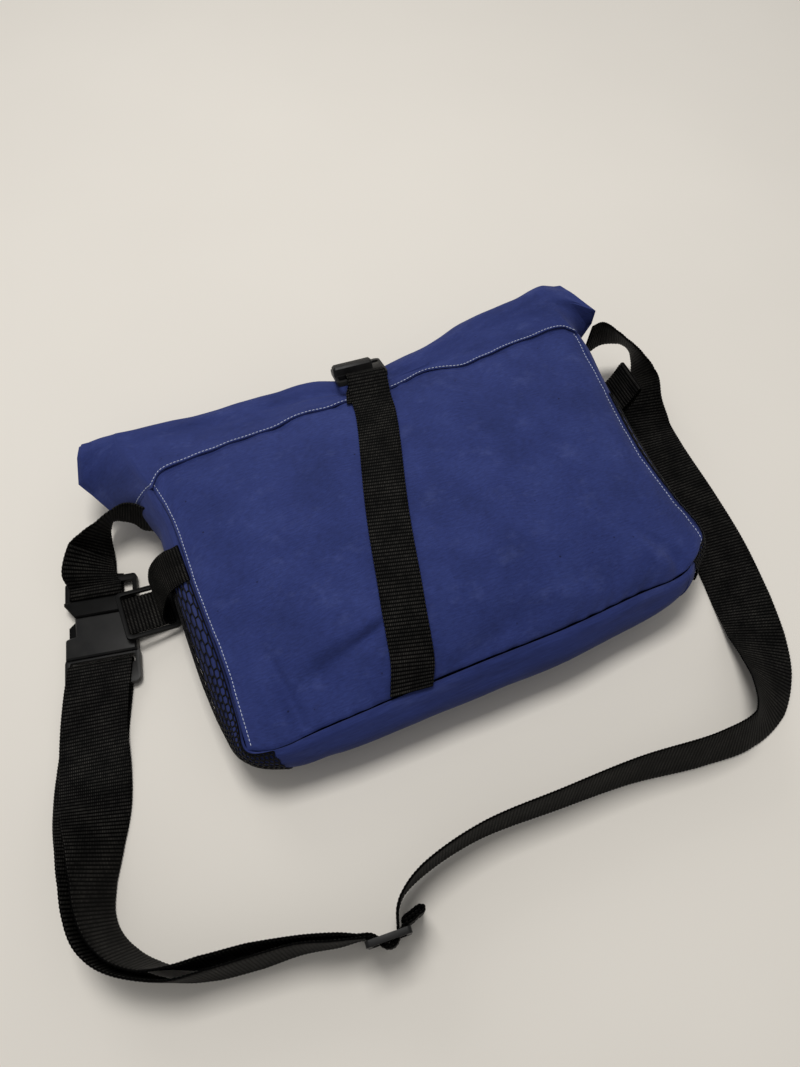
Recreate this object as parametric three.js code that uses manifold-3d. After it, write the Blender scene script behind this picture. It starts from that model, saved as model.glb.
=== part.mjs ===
// A roll-top messenger bag lying on its back, with its closure strap done up and its shoulder strap laid out.
// Millimetres. +X runs across the bag, +Y from its bottom to its rolled top, +Z up from where it lies.
// The origin is on the underside of the back panel.
import * as THREE from "three";
import { mergeVertices } from "three/addons/utils/BufferGeometryUtils.js";
import Module from "manifold-3d";

const wasm = await Module();
wasm.setup();

// Driving sizes
const CLOTH = 1.5;
const COLLAR_CLOTH = 1.2;
const NET = 1.0;
const WEBBING = 1.5;
const GAP = 0.5;
const SHOULDER_WIDTH = 40;
const CLOSURE_WIDTH = 25;
const SEAM_SHARE = 0.05;
const SEAM_GAP_SHARE = 0.0012;
const BACK_PANEL_SHARE = 0.9917;
const PANEL_CROWN = 17;
const PANEL_ROUNDNESS = 2.8;
const ROLL_HALF = 2;
const MERGE_DISTANCE = 1e-3;

const COLOURS = {
  cloth: { color: 0x2b3270, roughness: 0.85, metalness: 0 },
  net: { color: 0x101014, roughness: 0.7, metalness: 0 },
  webbing: { color: 0x121212, roughness: 0.75, metalness: 0 },
  plastic: { color: 0x2c2c2f, roughness: 0.45, metalness: 0 },
};

// Turns rows of numbers into objects with the named columns.
function table(columns, rows) {
  return rows.map((row) => Object.fromEntries(columns.map((name, i) => [name, row[i]])));
}

// The wall round the bag, from the top of its left side, round the bottom, to the top of its right side.
// front_* is on the front panel's seam, back_* on the edge of the back panel, and bulge is how far it swells.
const WALL = table(
  ["front_x", "front_y", "front_z", "back_x", "back_y", "bulge"],
  [
    [-146, 80, 58, -142, 88, 14],
    [-141.5, 55, 57, -142, 60, 10],
    [-141.5, 10, 55, -142, 15, 14],
    [-140.5, -45, 51, -141, -40, 15],
    [-142, -78, 47, -136, -64, 14],
    [-143, -95, 45, -126, -76, 13],
    [-130, -100, 45, -112, -80, 17],
    [-100, -100.5, 46.5, -90, -80, 21],
    [-50, -100.5, 48, -48, -80, 23],
    [0, -101, 49, 0, -80, 23],
    [50, -101.5, 48, 48, -80, 23],
    [100, -99.5, 46.5, 92, -80, 21],
    [137, -97.5, 45, 116, -80, 17],
    [150, -89.5, 45, 131, -75, 12],
    [157, -81, 47, 140, -62, 11],
    [152, -52, 53, 144, -40, 13],
    [149, -15, 56, 146, 0, 15],
    [151.5, 30, 60, 147, 40, 15],
    [154, 62, 63.5, 147, 65, 14],
    [155, 80, 66, 147, 88, 12],
  ],
);
const BACK_EDGE_Z = 1.2;
const LEFT_CORNER_ROW = 5;
const LEFT_SEAM_ROW = 6;
const RIGHT_SEAM_ROW = 12;
const RIGHT_CORNER_ROW = 13;
const LAST_ROW = WALL.length - 1;
const WALL_ROWS = 5;
const PANEL_GRID = { columns: 20, rows: 12 };

// The net pockets over both sides: the wall rows where each starts and ends, and the way its outside faces.
const POCKETS = table(
  ["name", "low_row", "high_row", "outward"],
  [
    ["net_pocket_left", 5.886, 1.75, -1],
    ["net_pocket_right", 12.114, 17, 1],
  ],
);
const POCKET_UP = { from: 0.16, to: 0.86 };
const NET_CELLS = { columns: 11, rows: 4, open: 0.74 };

// The rippled seam between the front panel and the rolled collar, from left to right.
const TOP_SEAM = table(
  ["x", "y", "z"],
  [
    [-146, 80, 58],
    [-138, 89, 59],
    [-118, 89, 62],
    [-84, 87, 67],
    [-62, 84.5, 70],
    [-45, 85.5, 73],
    [-22, 81.5, 76],
    [0, 80, 77],
    [22, 80.5, 77],
    [45, 85, 75.5],
    [66, 80.5, 74],
    [86, 83, 73],
    [118, 86, 71],
    [146, 87, 69],
    [155, 80, 66],
  ],
);

// Soft dents and folds of the front panel: place across and up it, direction, reach along and across, height.
const FOLDS = table(
  ["across", "up", "turn_deg", "along", "wide", "height"],
  [
    [0.3, 0.34, 62, 26, 9, -1.6],
    [0.2, 0.16, 20, 34, 11, -1.4],
    [0.6, 0.1, -12, 40, 10, -1.3],
    [0.24, 0.93, 78, 16, 9, 1.8],
    [0.72, 0.93, 100, 16, 9, -1.8],
    [0.88, 0.3, 50, 36, 12, -1.6],
  ],
);

// The top edge of the rolled collar, from its left ear to its right one.
const ROLL_LINE = table(
  ["x", "y", "z"],
  [
    [-195, 132.5, 53],
    [-181, 132, 56],
    [-137, 126, 58],
    [-97, 118, 62],
    [-57, 112.5, 67],
    [-27, 106, 72],
    [-12, 98.5, 74.5],
    [6, 96, 75],
    [28, 97, 77],
    [52, 101, 78],
    [88, 110, 78],
    [122, 114.5, 78],
    [149, 118, 78],
    [163, 116, 75],
    [180, 108, 70],
  ],
);

// The collar's path: how far it is flattened, its place from the roll's top edge, where its two ears end,
// and how far the ears come forward and the left one hangs.
const COLLAR_PATH = table(
  ["flat", "dy", "dz", "left_tip", "right_tip", "left_fore", "right_fore", "left_drop"],
  [
    [0, -9, -3, -176, 168, 0, 0, 0],
    [0.33, -9, -3, -215, 174, 4, 6, 33],
    [0.7, -9, -3, -197, 176, 5, 8, 17],
    [1, -9, -3, -191, 172, 9, 11, 12],
    [1, -3, -2.6, -185.5, 167, 2.4, 4, 3],
    [1, 1.5, -4.6, -182, 163, 0, 0, 0],
    [1, 4.5, -11, -182, 163, 0, 0, 0],
    [1, 8, -22, -184, 165, 0, 0, 0],
    [1, 9, -31, -184, 166, 0, 0, 0],
    [1, 5.6, -35.5, -184, 166, 0, 0, 0],
    [1, 2, -32.5, -184, 166, 0, 0, 0],
    [1, 0, -25, -183, 165, 0, 0, 0],
    [1, -2.5, -15.5, -182, 164, 0, 0, 0],
  ],
);
const COLLAR_FRONT_LEFT = -157;
const COLLAR_FRONT_RIGHT = 144;
const COLLAR_COLUMNS = { wide: 15, side: 6 };
const CORNER_EASE = 0.7;

// Webbing that stands off the surface, by its two edges: outer_* is on the outside of the strap's loop.
const EDGES = ["outer_x", "outer_y", "outer_z", "inner_x", "inner_y", "inner_z"];
const RIGHT_ANCHOR = table(EDGES, [
  [168, 81, 66, 171, 86, 26],
  [177, 81, 66, 188, 90, 28],
  [184, 74, 62, 203, 87, 26],
  [190, 68, 57, 209, 85, 22],
  [197, 65, 50, 213, 83, 16],
  [204, 60, 42, 214, 78, 7],
  [207.5, 50.5, 36, 209, 69, 2.5],
  [207, 36, 21, 182, 53, 4],
  [214, 22, 3.6, 175.5, 32, 2.2],
]);
// Webbing that rests on the surface: its middle line, how far its lower edge is lifted, and its lean.
// At a lean of 0 it lies flat, at 90 its outer edge is straight above its inner one.
const RIGHT_RUN = table(
  ["x", "y", "lift", "lean"],
  [
    [193.5, 3, 0.5, 0],
    [192, -41, 0.5, 0],
    [189, -79, 0.5, 0],
    [182, -117, 0.5, 0],
    [175, -142, 0.5, -8],
    [166, -163, 0.5, -24],
    [152, -181, 0.5, -43],
    [131, -193, 0.5, -68],
    [101, -193, 0.5, -75],
    [54, -186, 0.5, -79],
    [8, -183, 0.5, -82],
    [-42, -180.6, 0.5, -85],
    [-78, -186.2, 1.5, -87],
  ],
);
const LEFT_TOP_RUN = table(
  ["x", "y", "lift", "lean"],
  [
    [-130, -200, 2, -87],
    [-147, -193.5, 1.2, -84],
    [-174, -187, 0.5, -81],
    [-198, -182.5, 0.5, -82],
    [-213, -178.5, 0.5, -88],
    [-226, -172, 0.5, -96],
    [-237, -161.5, 0.5, -100],
    [-243.5, -149, 0.5, -101],
    [-245, -137, 0.5, -103],
    [-242.5, -122, 0.5, -109],
    [-238, -103, 0.5, -124],
    [-234.6, -83, 0.6, -148],
    [-231.5, -60, 1.5, -169],
    [-227.7, -38, 3.8, -178],
  ],
);
const LEFT_UNDER_RUN = table(
  ["x", "y", "lift", "lean"],
  [
    [-228, -38, 0.5, 0],
    [-234, -60, 0.5, -9],
    [-238.5, -84, 0.5, -28],
    [-242.5, -104, 0.5, -51],
    [-247.5, -122, 0.5, -68],
    [-250.5, -138, 0.5, -76],
    [-250, -150, 0.5, -80],
    [-245.5, -160.5, 0.5, -83],
    [-239, -168.5, 0.5, -86],
    [-228, -177, 0.5, -89],
    [-214, -184.5, 0.5, -92],
    [-196, -189, 0.5, -97],
    [-174, -192.5, 0.5, -98],
    [-152, -197, 1.2, -96],
    [-133, -203, 2, -93],
  ],
);

// The slider on the shoulder strap, stood on edge: bars across two slots, and how both plies thread it.
const SLIDER = { x: -107.5, y: -209, z: 23.2, turn_deg: -5.4, length: 24, height: 46.4, thick: 3.4 };
const SLIDER_END_BAR = 2.8;
const SLIDER_MIDDLE_BAR = 3.6;
const SLIDER_RAIL = 2.8;
const SLIDER_THREAD = table(
  ["along", "running", "returning"],
  [
    [-13.5, 17.8, 3.4],
    [-8.4, 11.5, 2.8],
    [-5.2, 1.4, -1.3],
    [-2.6, -2.5, -4.8],
    [0, -3.2, -5.5],
    [2.6, -2.5, -4.8],
    [5.2, 1.4, -1.3],
    [8.4, 4.8, 2.7],
    [15, 4.2, 2.2],
  ],
);
// The strap's free end past the slider, with its hem folded back.
const STUB = table(
  ["along", "off"],
  [
    [-16.4, 5.3],
    [-18.8, 6.7],
    [-19.4, 5],
    [-17.6, 3.6],
    [-15.8, 2.5],
  ],
);

// The side-release buckle: its lower end on the middle line, which way it points, and its lengths from there.
const BUCKLE = { x: -215.4, y: -12.5, turn_deg: -12.2, width: 46 };
const BUCKLE_Z = { low: 1.0, high: 10.0, frame_low: 3.2, frame_high: 7.2 };
const FEMALE_BAR = 13;
const FEMALE_SLOT_END = 19;
const FEMALE_WIDE_END = 34.5;
const FEMALE_END = 48;
const BODY_HALF = 21.8;
const NECK_HALF = 16;
const MALE_START = 48.5;
const MALE_SHOULDER = 59;
const MALE_SLOT = { from: 61, to: 70.5 };
const MALE_END = 75;
const PRONG_END = 26;
const PRONG_INSET = 5;
const TONGUE_HALF = 4;
const FRAME_WALL = 2.8;
const INSIDE_CLEARANCE = 0.4;
// How webbing goes round the buckle's two bars, and where the strap's two plies come together before it.
const BAR_WRAP = { rise: 3.3, female_centre: 12.6, female_reach: 4.2, male_centre: 69.5, male_reach: -7 };
const WRAP_STEPS = 6;
const STRAP_LEAD = { length: -6, top_z: 8.4, below_z: 1.3, aside: -4 };
const ANCHOR_LEAD = { length: 78.5, z: 2 };
const ANCHOR_ASIDE = -3.2;

// The short strap from the bag's left side to the buckle, and its tail folded back over the buckle's bar.
const ANCHOR_WIDTH = 33;
const LEFT_ANCHOR = table(EDGES, [
  [-155.8, 76.4, 46, -163.3, 80.4, 14],
  [-160.4, 81.2, 46, -167.7, 87.2, 14],
  [-166.8, 85, 45, -174.8, 93, 13],
  [-175, 85.8, 41, -181.5, 97.6, 10],
  [-187.7, 82.4, 38.5, -184.9, 93.3, 7],
  [-199.8, 81.2, 34, -186.5, 86.1, 4],
  [-209.9, 81.2, 25, -188.1, 74.4, 2.6],
  [-218, 76.9, 10, -189.9, 62.7, 1.8],
]);
const ANCHOR_TAIL = table(EDGES, [
  [-219, 64.5, 19, -190.2, 58.5, 8.8],
  [-213, 72, 29, -189.6, 66, 7.4],
  [-206.9, 77.8, 35, -189.2, 72, 6.5],
]);

// Doubled webbing tabs on the bag's two sides, out along the upper ply and back along the lower one.
const LEFT_TAB = table(EDGES, [
  [-147, 36.6, 53.5, -146.6, 11, 53],
  [-151.5, 37.3, 50.5, -151, 13.5, 48.5],
  [-158, 38.3, 44, -157.5, 15.5, 40],
  [-165, 38.1, 34, -163.5, 16.5, 27],
  [-168.3, 36.4, 25, -167.5, 13, 17],
  [-168, 36.4, 15, -167.5, 12.2, 9],
  [-164, 36.4, 6.2, -163.8, 12, 4],
  [-157, 36.4, 4.4, -157, 12, 2.8],
]);
const TAB_COLUMNS = ["x", "y", "z", "lean"];
const RIGHT_TAB = table(TAB_COLUMNS, [
  [166, 43, 24, 0],
  [173, 44, 31, 0],
  [178.5, 44.5, 40, 0],
  [180.5, 44.5, 46, 0],
  [182, 44.5, 47.5, 0],
  [183.2, 44.5, 46, 0],
  [182, 44.5, 38, 0],
  [176.5, 44, 27.5, 0],
  [168.5, 43, 20, 0],
]);
// A plastic ring hangs in the left tab by one bar, with a short strap end lying in it under its other bar.
const SIDE_RING = { x: -176, y: 24, z: 11.3, tip_deg: 12 };
const RING_SIZE = { wide: 34.5, long: 34, thick: 2.6, bar: 2.8 };
const RING_STRAP = table(TAB_COLUMNS, [
  [-192.8, 24.2, 11.6, 0],
  [-188, 24.2, 11.6, 1],
  [-182, 24.2, 10.9, 2],
  [-176.5, 24.2, 10, 3],
  [-170.2, 24.2, 9, 3],
]);

// The closure strap's middle line on the front panel, as shares across it at its bottom and top,
// and the shares from there to its right edge.
const CLOSURE = { across_low: 0.3175, across_high: 0.4955, up_end: 0.9, stations: 12 };
const CLOSURE_EDGE = { across: 0.0432, up: -0.0177 };
// Over the panel's rounded lower edge the strap's foot comes aside by this share, from this share up.
const CLOSURE_FOOT = { across: 0.0075, up: 0.13 };
const CLOSURE_RISE = table(
  ["x", "y", "z"],
  [
    [-0.4, 71, 84],
    [1.2, 79, 86.6],
  ],
);
const CLOSURE_TAIL = table(
  ["x", "y", "z"],
  [
    [-0.4, 80.5, 81.8],
    [-3.2, 72.5, 81.6],
  ],
);
// The closure buckle leans over the top of the roll: its near bar, then its lengths from there.
const TOP_BUCKLE = { x: 1.5, y: 87, z: 84.6, turn_deg: -6, tip_deg: 30, left: -17.5, right: 15.6, end: 26 };
const TOP_BLOCK = { from: 9.6, to: 17.6, right: 8.5, low: 0.2, high: 7 };
const TOP_FRAME = { half_thick: 1.5, bar: 1.6, rail: 1.6, far_bar: 3.4 };
// How the closure strap goes round the buckle's near bar, a little aside of its middle and turned to it.
const CLOSURE_WRAP = { aside: 1.2, lead: -2.6, reach: 5.4, rise: 3.6, turn_deg: -7 };
const BACK_STRAP = table(
  ["x", "y", "z"],
  [
    [4.6, 112.2, 68.4],
    [5.4, 113.8, 62],
    [6, 113.4, 53],
    [6.4, 111.5, 43],
    [5.5, 108.5, 30],
    [4, 103.5, 16],
    [2.5, 98.8, 5],
    [2, 96.5, 1.4],
  ],
);

const vector = (row) => new THREE.Vector3(row.x, row.y, row.z);
const radians = THREE.MathUtils.degToRad;
const lerp = THREE.MathUtils.lerp;
const clamp = THREE.MathUtils.clamp;

// A closed geometry from corners and triangles, turned to face out.
function closedGeometry(points, triangles) {
  let volume = 0;
  for (const [a, b, c] of triangles) volume += points[a].dot(points[b].clone().cross(points[c]));
  const faces = volume < 0 ? triangles.map(([a, b, c]) => [a, c, b]) : triangles;
  const geometry = new THREE.BufferGeometry();
  geometry.setAttribute("position", new THREE.Float32BufferAttribute(points.flatMap((p) => p.toArray()), 3));
  geometry.setIndex(faces.flat());
  return geometry;
}

// Gives a flat net of faces two skins, placed by outer and inner, and walls along every open edge.
function thicken(net, outer, inner) {
  const count = net.points.length;
  const points = [...net.points.map(([u, v]) => outer(u, v)), ...net.points.map(([u, v]) => inner(u, v))];
  const directed = new Set();
  const triangles = [];
  for (const [a, b, c] of net.faces) {
    triangles.push([a, b, c], [a + count, c + count, b + count]);
    for (const [from, to] of [[a, b], [b, c], [c, a]]) directed.add(`${from},${to}`);
  }
  for (const edge of directed) {
    const [from, to] = edge.split(",").map(Number);
    if (!directed.has(`${to},${from}`)) {
      triangles.push([to, from, from + count], [to, from + count, to + count]);
    }
  }
  return closedGeometry(points, triangles);
}

// A net of two triangles a cell over the unit square, joined to itself across u when it goes round.
function gridNet(columns, rows, round = false) {
  const across = round ? columns : columns + 1;
  const points = [];
  for (let j = 0; j <= rows; j++) {
    for (let i = 0; i < across; i++) points.push([i / columns, j / rows]);
  }
  const at = (i, j) => j * across + (i % across);
  const faces = [];
  for (let j = 0; j < rows; j++) {
    for (let i = 0; i < columns; i++) {
      faces.push([at(i, j), at(i + 1, j), at(i + 1, j + 1)], [at(i, j), at(i + 1, j + 1), at(i, j + 1)]);
    }
  }
  return { points, faces };
}

// The point a given depth under a surface, along its own normal.
function under(surface, depth) {
  const step = 1e-3;
  return (u, v) => {
    const [u0, u1] = [clamp(u - step, 0, 1), clamp(u + step, 0, 1)];
    const [v0, v1] = [clamp(v - step, 0, 1), clamp(v + step, 0, 1)];
    const du = surface(u1, v).sub(surface(u0, v));
    const dv = surface(u, v1).sub(surface(u, v0));
    return surface(u, v).addScaledVector(du.cross(dv).normalize(), -depth);
  };
}

const smoothCurve = (points) => new THREE.CatmullRomCurve3(points, false, "centripetal");
const frontSeam = WALL.map((row) => new THREE.Vector3(row.front_x, row.front_y, row.front_z));
const frontCurve = smoothCurve(frontSeam);
const backCurve = smoothCurve(WALL.map((row) => new THREE.Vector3(row.back_x, row.back_y, BACK_EDGE_Z)));

// A value of a table's column between its rows, at a share of the way through them.
function between(rows, column, share) {
  const place = clamp(share, 0, 1) * (rows.length - 1);
  const low = Math.min(Math.floor(place), rows.length - 2);
  return lerp(rows[low][column], rows[low + 1][column], place - low);
}

// The outside of the wall: round is the share of its rows, up runs from the back panel to the front seam.
function wallPoint(round, up) {
  const front = frontCurve.getPoint(round);
  const back = backCurve.getPoint(round);
  const way = frontCurve.getTangent(round).add(backCurve.getTangent(round));
  const out = new THREE.Vector3(way.y, -way.x, 0).normalize();
  const swell = between(WALL, "bulge", round) * 4 * up * (1 - up);
  return back.lerp(front, up).addScaledVector(out, swell);
}

// A piece of the wall between two places round it, with a seam's gap left at both edges and ends.
function wallSurface(from, to) {
  return (u, v) => wallPoint(lerp(from, to, u), lerp(SEAM_SHARE, 1 - SEAM_SHARE, v));
}

const leftEdge = smoothCurve(frontSeam.slice(0, LEFT_CORNER_ROW + 1).reverse());
const bottomEdge = smoothCurve(frontSeam.slice(LEFT_CORNER_ROW, RIGHT_CORNER_ROW + 1));
const rightEdge = smoothCurve(frontSeam.slice(RIGHT_CORNER_ROW));
const topEdge = smoothCurve(TOP_SEAM.map(vector));
const foldPlaces = FOLDS.map((fold) => ({ ...fold, turn: radians(fold.turn_deg) }));

// The patch stretched between the front panel's four edges, before it is crowned.
function panelPatch(across, up) {
  const ruledAcross = leftEdge.getPointAt(up).lerp(rightEdge.getPointAt(up), across);
  const ruledUp = bottomEdge.getPointAt(across).lerp(topEdge.getPointAt(across), up);
  const low = bottomEdge.getPointAt(0).lerp(bottomEdge.getPointAt(1), across);
  const high = topEdge.getPointAt(0).lerp(topEdge.getPointAt(1), across);
  return ruledAcross.add(ruledUp).sub(low.lerp(high, up));
}

function closureAcross(up) {
  const foot = Math.max(0, 1 - up / CLOSURE_FOOT.up) ** 2;
  return lerp(CLOSURE.across_low, CLOSURE.across_high, up) + CLOSURE_FOOT.across * foot;
}

// The outside of the front panel, crowned by what is in the bag.
function panelPoint(across, up) {
  const point = panelPatch(across, up);
  const dome = (share) => 1 - Math.abs(2 * share - 1) ** PANEL_ROUNDNESS;
  const edge = dome(across) * dome(up);
  const fade = Math.min(1, 4 * edge);
  let rise = PANEL_CROWN * edge;
  for (const fold of foldPlaces) {
    const centre = panelPatch(fold.across, fold.up);
    const along = (point.x - centre.x) * Math.cos(fold.turn) + (point.y - centre.y) * Math.sin(fold.turn);
    const off = (point.y - centre.y) * Math.cos(fold.turn) - (point.x - centre.x) * Math.sin(fold.turn);
    rise += fade * fold.height * Math.exp(-((along / fold.along) ** 2) - (off / fold.wide) ** 2);
  }
  point.z += rise;
  return point;
}

// Heights and places along the roll's top edge at a place across the bag.
function rollEdge(x) {
  const next = clamp(ROLL_LINE.findIndex((row) => row.x > x), 1, ROLL_LINE.length - 1);
  const [a, b] = [ROLL_LINE[next - 1], ROLL_LINE[next]];
  const share = clamp((x - a.x) / (b.x - a.x), 0, 1);
  return { y: lerp(a.y, b.y, share), z: lerp(a.z, b.z, share) };
}

// Where a column of the collar goes round its section: on its front, right side, back or left side.
function collarColumn(u) {
  const { wide, side } = COLLAR_COLUMNS;
  const place = u * 2 * (wide + side);
  if (place <= wide) return { face: "front", share: place / wide };
  if (place < wide + side) return { face: "right", share: (place - wide) / side };
  if (place <= 2 * wide + side) return { face: "back", share: (place - wide - side) / wide };
  return { face: "left", share: (place - 2 * wide - side) / side };
}

// The collar where it is sewn on: the top seam, the upper ends of both sides and the back panel's edge.
function collarMouth({ face, share }) {
  const shift = new THREE.Vector3(0, 4 * GAP, 0);
  const eased = lerp(share, THREE.MathUtils.smoothstep(share, 0, 1), CORNER_EASE);
  if (face === "front") return topEdge.getPointAt(eased).add(shift);
  if (face === "right") return wallPoint(1, 1 - share).add(shift);
  if (face === "left") return wallPoint(0, share).add(shift);
  return wallPoint(1, 0).lerp(wallPoint(0, 0), share).add(shift);
}

// The collar where it is flat: both faces lie on the roll's path, and the sides are folded into ears.
function collarFlat({ face, share }, row) {
  const here = COLLAR_PATH[row];
  const last = COLLAR_PATH[Math.min(row + 1, COLLAR_PATH.length - 1)];
  const first = here.flat < 1 ? { dy: here.dy - 1, dz: here.dz } : COLLAR_PATH[row - 1];
  const ahead = new THREE.Vector3(0, last.dy - first.dy, last.dz - first.dz).normalize();
  const out = new THREE.Vector3(0, -ahead.z, ahead.y);
  const fold = 1 - Math.abs(2 * share - 1);
  let x = lerp(COLLAR_FRONT_LEFT, COLLAR_FRONT_RIGHT, share);
  let side = ROLL_HALF;
  if (face === "right") {
    x = lerp(COLLAR_FRONT_RIGHT, here.right_tip, fold);
    side = ROLL_HALF * (1 - 2 * share);
  }
  if (face === "back") {
    x = lerp(COLLAR_FRONT_RIGHT, COLLAR_FRONT_LEFT, share);
    side = -ROLL_HALF;
  }
  if (face === "left") {
    x = lerp(COLLAR_FRONT_LEFT, here.left_tip, fold);
    side = ROLL_HALF * (2 * share - 1);
  }
  const edge = rollEdge(x);
  const fore = { left: here.left_fore, right: here.right_fore }[face] ?? 0;
  const drop = face === "left" ? here.left_drop : 0;
  const y = edge.y + here.dy - fold * fore;
  const z = edge.z + here.dz - fold * drop;
  return new THREE.Vector3(x, y, z).addScaledVector(out, side);
}

function collarPoint(u, v) {
  const place = clamp(v, 0, 1) * (COLLAR_PATH.length - 1);
  const low = Math.min(Math.floor(place), COLLAR_PATH.length - 2);
  const column = collarColumn(((u % 1) + 1) % 1);
  const at = (row) => collarMouth(column).lerp(collarFlat(column, row), COLLAR_PATH[row].flat);
  return at(low).lerp(at(low + 1), place - low);
}

// The collar's inner skin, from the corners of its own net on either side of each corner.
function collarInside(columns, rows) {
  return (u, v) => {
    const du = collarPoint(u + 1 / columns, v).sub(collarPoint(u - 1 / columns, v));
    const dv = collarPoint(u, Math.min(v + 1 / rows, 1)).sub(collarPoint(u, Math.max(v - 1 / rows, 0)));
    return collarPoint(u, v).addScaledVector(du.cross(dv).normalize(), -COLLAR_CLOTH);
  };
}

// A honeycomb net over the unit square, each cell pierced, with straight hems above and below.
function honeycombNet(columns, rows, open) {
  const points = [];
  const faces = [];
  const known = new Map();
  const corner = (x, y) => {
    const key = `${x.toFixed(5)},${y.toFixed(5)}`;
    if (!known.has(key)) {
      known.set(key, points.length);
      points.push([x, y]);
    }
    return known.get(key);
  };
  const stepX = 1 / (columns + 1 / 3);
  const stepY = 1 / (rows + 0.5);
  const quad = (a, b, c, d) => faces.push([a, b, c], [a, c, d]);
  const offsets = [[-2, 0], [-1, -1], [1, -1], [2, 0], [1, 1], [-1, 1]];
  for (let i = 0; i < columns; i++) {
    const odd = i % 2;
    const x = (i + 2 / 3) * stepX;
    const place = ([ox, oy], y, scale) => corner(x + (ox * stepX * scale) / 3, y + (oy * stepY * scale) / 2);
    for (let j = 0; j < rows; j++) {
      const y = (j + 0.5 + odd / 2) * stepY;
      offsets.forEach((offset, k) => {
        const next = offsets[(k + 1) % offsets.length];
        quad(place(offset, y, 1), place(next, y, 1), place(next, y, open), place(offset, y, open));
      });
    }
    const hemY = odd ? 0 : 1;
    const edgeY = odd ? stepY / 2 : 1 - stepY / 2;
    const left = i === 0 ? x - stepX / 3 : x - (2 * stepX) / 3;
    const right = i === columns - 1 ? x + stepX / 3 : x + (2 * stepX) / 3;
    const hem = [
      corner(left, hemY),
      corner(right, hemY),
      corner(x + stepX / 3, edgeY),
      corner(x - stepX / 3, edgeY),
    ];
    if (hemY) hem.reverse();
    if (hem[0] !== hem[3] || hem[1] !== hem[2]) quad(...hem);
  }
  return { points, faces };
}

// Webbing stations from rows that give a lift and a lean.
function leaning(rows, width) {
  const rest = (row) => {
    const lean = radians(row.lean);
    const rise = (width / 2) * Math.abs(Math.sin(lean)) + (WEBBING / 2) * Math.abs(Math.cos(lean));
    return new THREE.Vector3(row.x, row.y, row.lift + rise);
  };
  const places = rows.map(rest);
  return rows.map((row, i) => {
    const way = places[Math.min(i + 1, rows.length - 1)].clone().sub(places[Math.max(i - 1, 0)]);
    const side = new THREE.Vector3(-way.y, way.x, 0).normalize();
    const lean = radians(row.lean);
    side.multiplyScalar(Math.cos(lean)).add(new THREE.Vector3(0, 0, Math.sin(lean)));
    return { place: places[i], side };
  });
}

// Webbing stations from rows that give its two edges.
function edged(rows) {
  return rows.map((row) => {
    const outer = new THREE.Vector3(row.outer_x, row.outer_y, row.outer_z);
    const inner = new THREE.Vector3(row.inner_x, row.inner_y, row.inner_z);
    return { place: outer.clone().lerp(inner, 0.5), side: outer.sub(inner).normalize() };
  });
}

// A ribbon of webbing along stations that each give its middle and the way to one edge.
function webbing(stations, width, steps) {
  const curve = smoothCurve(stations.map((station) => station.place));
  const frame = (u) => {
    const way = curve.getTangent(u);
    const place = clamp(u, 0, 1) * (stations.length - 1);
    const low = Math.min(Math.floor(place), stations.length - 2);
    const side = stations[low].side.clone().lerp(stations[low + 1].side, place - low).normalize();
    return { centre: curve.getPoint(u), side, up: way.clone().cross(side).normalize() };
  };
  const skin = (height) => (u, v) => {
    const { centre, side, up } = frame(u);
    return centre.addScaledVector(side, (v - 0.5) * width).addScaledVector(up, height);
  };
  return thicken(gridNet((stations.length - 1) * steps, 1), skin(WEBBING / 2), skin(-WEBBING / 2));
}

// Solids for joins and cuts.
function toSolid(geometry) {
  const bare = geometry.clone();
  bare.deleteAttribute("normal");
  bare.deleteAttribute("uv");
  const merged = mergeVertices(bare, MERGE_DISTANCE);
  const vertProperties = new Float32Array(merged.attributes.position.array);
  const triVerts = new Uint32Array(merged.index.array);
  return new wasm.Manifold(new wasm.Mesh({ numProp: 3, vertProperties, triVerts }));
}

function fromSolid(solid) {
  const mesh = solid.getMesh();
  const geometry = new THREE.BufferGeometry();
  geometry.setAttribute("position", new THREE.BufferAttribute(new Float32Array(mesh.vertProperties), 3));
  geometry.setIndex(new THREE.BufferAttribute(new Uint32Array(mesh.triVerts), 1));
  return geometry;
}

// A rectangle with round corners, from two opposite corners.
function roundRectangle(outline, x0, y0, x1, y1, radius) {
  outline.moveTo(x0 + radius, y0);
  outline.lineTo(x1 - radius, y0);
  outline.absarc(x1 - radius, y0 + radius, radius, -Math.PI / 2, 0);
  outline.lineTo(x1, y1 - radius);
  outline.absarc(x1 - radius, y1 - radius, radius, 0, Math.PI / 2);
  outline.lineTo(x0 + radius, y1);
  outline.absarc(x0 + radius, y1 - radius, radius, Math.PI / 2, Math.PI);
  outline.lineTo(x0, y0 + radius);
  outline.absarc(x0 + radius, y0 + radius, radius, Math.PI, 1.5 * Math.PI);
  return outline;
}

const roundShape = (...sizes) => roundRectangle(new THREE.Shape(), ...sizes);
const roundHole = (...sizes) => roundRectangle(new THREE.Path(), ...sizes);

// A shape given thickness from low to high, its edges bevelled inside its own outline.
function plate(shape, low, high, bevel = 0) {
  const geometry = new THREE.ExtrudeGeometry(shape, {
    depth: high - low - 2 * bevel,
    curveSegments: 2,
    bevelEnabled: bevel > 0,
    bevelThickness: bevel,
    bevelSize: bevel,
    bevelOffset: -bevel,
    bevelSegments: 1,
  });
  return geometry.translate(0, 0, low + bevel);
}

const bag = new THREE.Group();

function addPiece(name, finish, geometry, parent = bag) {
  const mesh = new THREE.Mesh(geometry, new THREE.MeshStandardMaterial(COLOURS[finish]));
  mesh.name = name;
  parent.add(mesh);
  return mesh;
}

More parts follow.
